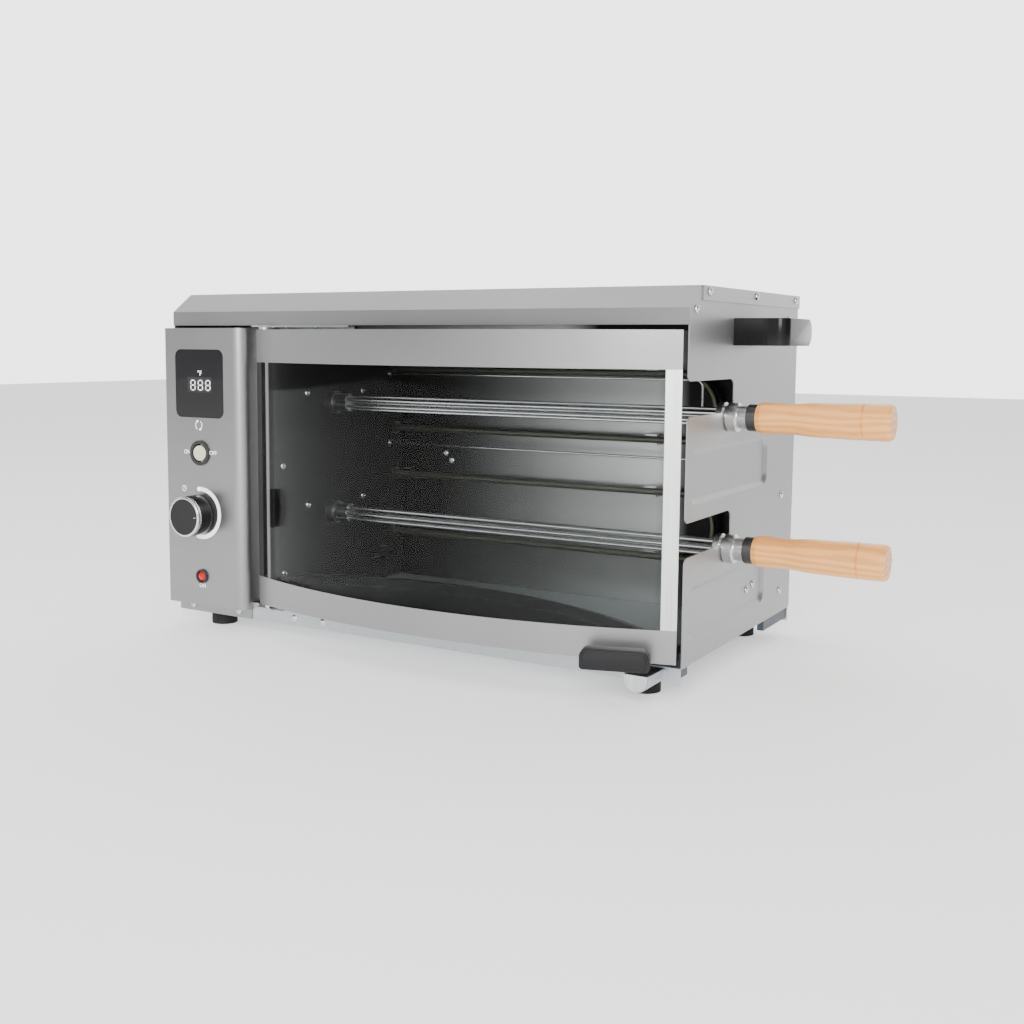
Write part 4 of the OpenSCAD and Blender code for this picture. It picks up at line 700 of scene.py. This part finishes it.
def print_patch(name, width, height, corner=0.0):
    """A flat rectangle, with rounded corners if a radius is given."""
    deselect()
    bpy.ops.mesh.primitive_plane_add(size=1, location=(0, 0, 0))
    piece = bpy.context.active_object
    piece.name = name
    piece.scale = (width * MM, height * MM, 1)
    set_form(scale=True)
    if corner:
        open_mesh(piece)
        bpy.ops.mesh.bevel(offset=corner * MM, segments=4, affect="VERTICES")
        bpy.ops.object.mode_set(mode="OBJECT")
    return piece


def print_words(name, words, height):
    """Flat words whose capitals have a height."""
    deselect()
    bpy.ops.object.text_add(location=(0, 0, 0))
    piece = bpy.context.active_object
    piece.name = name
    piece.data.body = words
    piece.data.size = height * MM / CAPITAL_SHARE
    piece.data.align_x = "CENTER"
    piece.data.align_y = "CENTER"
    piece.data.resolution_u = 4
    bpy.ops.object.convert(target="MESH")
    return bpy.context.active_object


def flat_disc(name, sides, scale):
    """A flat disc of a few sides, drawn out to a scale in metres."""
    deselect()
    bpy.ops.mesh.primitive_circle_add(
        vertices=sides, radius=1, fill_type="NGON", location=(0, 0, 0)
    )
    piece = bpy.context.active_object
    piece.name = name
    piece.scale = (*scale, 1)
    set_form(scale=True)
    return piece


def print_arrow(name, length, width):
    return flat_disc(name, 3, (width * MM / TRIANGLE_WIDE, length * MM / TRIANGLE_LONG))


def lay_print(piece, x, z, plane=PANEL_Y, finish=None, lift=PRINT_LIFT):
    """Gives a flat print its thin coat of ink and lays it on a plane."""
    open_mesh(piece)
    push(0, 0, PRINT_T)
    bpy.ops.object.mode_set(mode="OBJECT")
    put(piece, (x, plane - lift, z), FORWARD)
    finish_piece(piece, "grill", "cream_plastic", finish or GLOWING_WHITE_PRINT, smooth=10)


def digit_segments(x):
    """One eight of seven bars, about (x, 0)."""
    level = [(0, y, 90) for y in (0, DIGIT_TALL, -DIGIT_TALL)]
    upright = [
        (side * DIGIT_WIDE / 2 + side * DIGIT_GAP, half * DIGIT_TALL / 2, 0)
        for side in (-1, 1) for half in (-1, 1)
    ]
    bars = []
    for dx, dy, turn in level + upright:
        length = DIGIT_TALL if turn == 0 else DIGIT_WIDE
        scale = (DIGIT_STROKE / HEXAGON_WIDE * MM, length / 2 * DIGIT_BAR_SHARE * MM)
        bars.append(shift(flat_disc("digit_bar", 6, scale), x + dx, dy, turn))
    return bars


def make_display_print():
    field = print_patch("display_field", 31, 14.5, 0.8)
    lay_print(field, -222.7, 223.2, DISPLAY_Y, DISPLAY_FIELD)
    bars = [bar for x in (-9.6, 0, 9.6) for bar in digit_segments(x)]
    digits = weld(bars, "display_digits")
    lay_print(digits, -221.6, 222.8, DISPLAY_Y, lift=PRINT_LIFT + PRINT_T)
    lay_print(print_words("unit_mark", "°F", 4.6), -222.5, 234.0, DISPLAY_Y)


def make_panel_print():
    make_display_print()
    ring = print_arc("turn_mark", 4.1, 0.8, 30, 165, 20)
    second = print_arc("turn_mark_return", 4.1, 0.8, 210, 345, 20)
    heads = [
        shift(print_arrow("turn_head", 2.6, 2.9), 1.7, -3.9, 110),
        shift(print_arrow("turn_head_return", 2.6, 2.9), -1.7, 3.9, -70),
    ]
    lay_print(weld([ring, second, *heads], "turn_mark"), -224.3, 184.6)
    lay_print(print_words("switch_on_word", "ON", 3.9), -239.8, 158.4)
    lay_print(print_words("switch_off_word", "OFF", 3.9), -206.4, 158.6)
    lay_print(print_words("lamp_word", "ON", 3.8), -222.8, 28.9)
    scale = print_arc("timer_scale", 23.2, 4.0, -8, 196, 64, round_start=True)
    lay_print(scale, KNOB_X, 100.0)
    dial = print_arc("clock_mark", 2.6, 0.6, 0, 359.9, 32)
    hands = [
        shift(print_patch("hand", 0.5, 2.0), 0, 0.8),
        shift(print_patch("hand", 1.6, 0.5), 0.7, 0),
    ]
    lay_print(weld([dial, *hands], "clock_mark"), -244.8, 122.8)


# Carry handles
CARRY_SIZE = (44.9, 68.0, 22.4)
CARRY_X, CARRY_Y, CARRY_Z = 266.6, 97.0, 263.8
CARRY_WALL = 3.5
CARRY_REAR_R, CARRY_FRONT_R, CARRY_EDGE_R = 10.0, 9.0, 2.2


def make_carry_handle(side):
    """A moulded grip, hollow below; side is 1 on the right and -1 on the left."""
    name = "right_carry_handle" if side > 0 else "left_carry_handle"
    out, long, high = CARRY_SIZE
    half_out, half_long = out / 2 * MM, long / 2 * MM

    def is_rear(edge):
        at_rear = all(vert.co.y > half_long - 0.0001 for vert in edge.verts)
        return at_rear and abs(edge.verts[0].co.x - edge.verts[1].co.x) > half_out

    def is_outer_front(edge):
        return all(vert.co.x * side > 0 and vert.co.y < 0 for vert in edge.verts)

    piece = block(name + "_grip", CARRY_SIZE)
    open_mesh(piece)
    pick(piece, "edges", is_rear)
    bpy.ops.mesh.bevel(offset=CARRY_REAR_R * MM, segments=10, affect="EDGES")
    pick(piece, "edges", is_outer_front)
    bpy.ops.mesh.bevel(offset=CARRY_FRONT_R * MM, segments=8, affect="EDGES")
    pick(piece, "faces", lambda face: face.normal.z < -0.99)
    bpy.ops.mesh.inset(thickness=CARRY_WALL * MM)
    push(0, 0, high - CARRY_WALL)
    bpy.ops.object.mode_set(mode="OBJECT")
    round_edges(piece, CARRY_EDGE_R, 4, 40)
    put(piece, (side * (CARRY_X + out / 2), CARRY_Y + long / 2, CARRY_Z + high / 2))
    finish_piece(piece, "grill", "gloss_black", replaces=(name,))


# Signal lamp
def make_lamp_lens():
    lens = turned("lamp_lens_facets", [
        (0, 5.0), (5.6, 5.0), (6.6, 4.7), (8.0, 3.4), (8.9, 1.6), (9.1, 0.5),
    ], sides=12)
    put(lens, (-223, -6.6, 38.3), FORWARD)
    finish_piece(lens, "grill", "red_lens", smooth=5, replaces=("lamp_lens",))


# Screws and rivets, one of each kind modelled and the rest copied
SLOT_LONG, SLOT_WIDE, SLOT_DEEP, SLOT_HEIGHT = 4.0, 0.9, 2.2, 2.0


def model_screw():
    head = turned("screw", [
        (-6.0, 1.5), (0, 1.5), (0, 3.0), (0.35, 3.3), (0.8, 3.2), (1.3, 2.8), (1.65, 2.1),
        (1.8, 1.1), (1.8, 0.6),
    ], sides=32)
    for size in ((SLOT_LONG, SLOT_WIDE, SLOT_DEEP), (SLOT_WIDE, SLOT_LONG, SLOT_DEEP)):
        carve(head, shift(block("slot", size), 0, 0, up=SLOT_HEIGHT))
    return head


def model_rivet():
    return turned("rivet", [
        (-1.6, 1.6), (0, 1.6), (0, 3.4), (0.25, 3.6), (0.9, 3.2), (1.4, 2.4), (1.6, 1.7),
        (1.55, 1.3), (0.7, 1.2), (0.7, 0.5),
    ], sides=32)


SIDE_SCREWS = [
    (266.5, 13.63, 291.4), (266.5, 245.25, 287.37), (266.5, 237.89, 125.55),
    (266.5, 240.89, 35.19), (267.6, 38.15, 305.36), (267.6, 149.88, 305.36),
    (267.6, 261.6, 305.36), (269.6, 110.2, 275), (269.6, 151.8, 275),
]
LEFT_SIDE_SCREWS = [(-x, y, z) for x, y, z in SIDE_SCREWS]
PROBE_SCREWS = [(264.0, 153.96, 50.22), (264.0, 170.04, 52.7)]
WALL_SCREWS = [
    (-145, 53, 215.5), (-145, 142, 215.5), (-145, 53, 106.5), (-145, 142, 106.5),
    (-145, 16.5, 44.5), (-145, 16.5, 147.5),
]
BACK_SCREWS = [(-87.4, 212, 148.5), (-80.2, 212, 141.3)]
APRON_SCREWS = [(-246, -1.0, 6.2), (-187, -1.0, 6.2)]
FOOT_SCREWS = [(x, y, -10.5) for x in (-227, 227) for y in (22, 250.5)]
LOWER_RIVETS = [(-119.7, 0.6, 7), (-86.4, 0.6, 7)]
UPPER_RIVETS = [(-128.5, 4.2, 278.5), (-93.8, 4.2, 278.5)]


def make_fasteners():
    screw = model_screw()
    rivet = model_rivet()
    rows = [
        (screw, SIDE_SCREWS, (1, 0, 0)),
        (screw, LEFT_SIDE_SCREWS, (-1, 0, 0)),
        (screw, PROBE_SCREWS, (1, 0, 0)),
        (screw, WALL_SCREWS, (1, 0, 0)),
        (screw, BACK_SCREWS, FORWARD),
        (screw, APRON_SCREWS, FORWARD),
        (screw, FOOT_SCREWS, (0, 0, -1)),
        (rivet, LOWER_RIVETS, FORWARD),
        (rivet, UPPER_RIVETS, (0, 0, -1)),
    ]
    made = [
        put(copy_of(model, "fastener"), place, axis)
        for model, places, axis in rows for place in places
    ]
    for model in (screw, rivet):
        bpy.data.objects.remove(model)
    finish_piece(weld(made, "fasteners"), "grill", "bright_steel", replaces=("case_screws",))


make_camera()
make_stage()
dress_cad_nodes()
make_timer_knob()
make_panel_print()
make_lamp_lens()
make_fasteners()
make_door_handle()
make_carry_handle(1)
make_carry_handle(-1)
deselect()
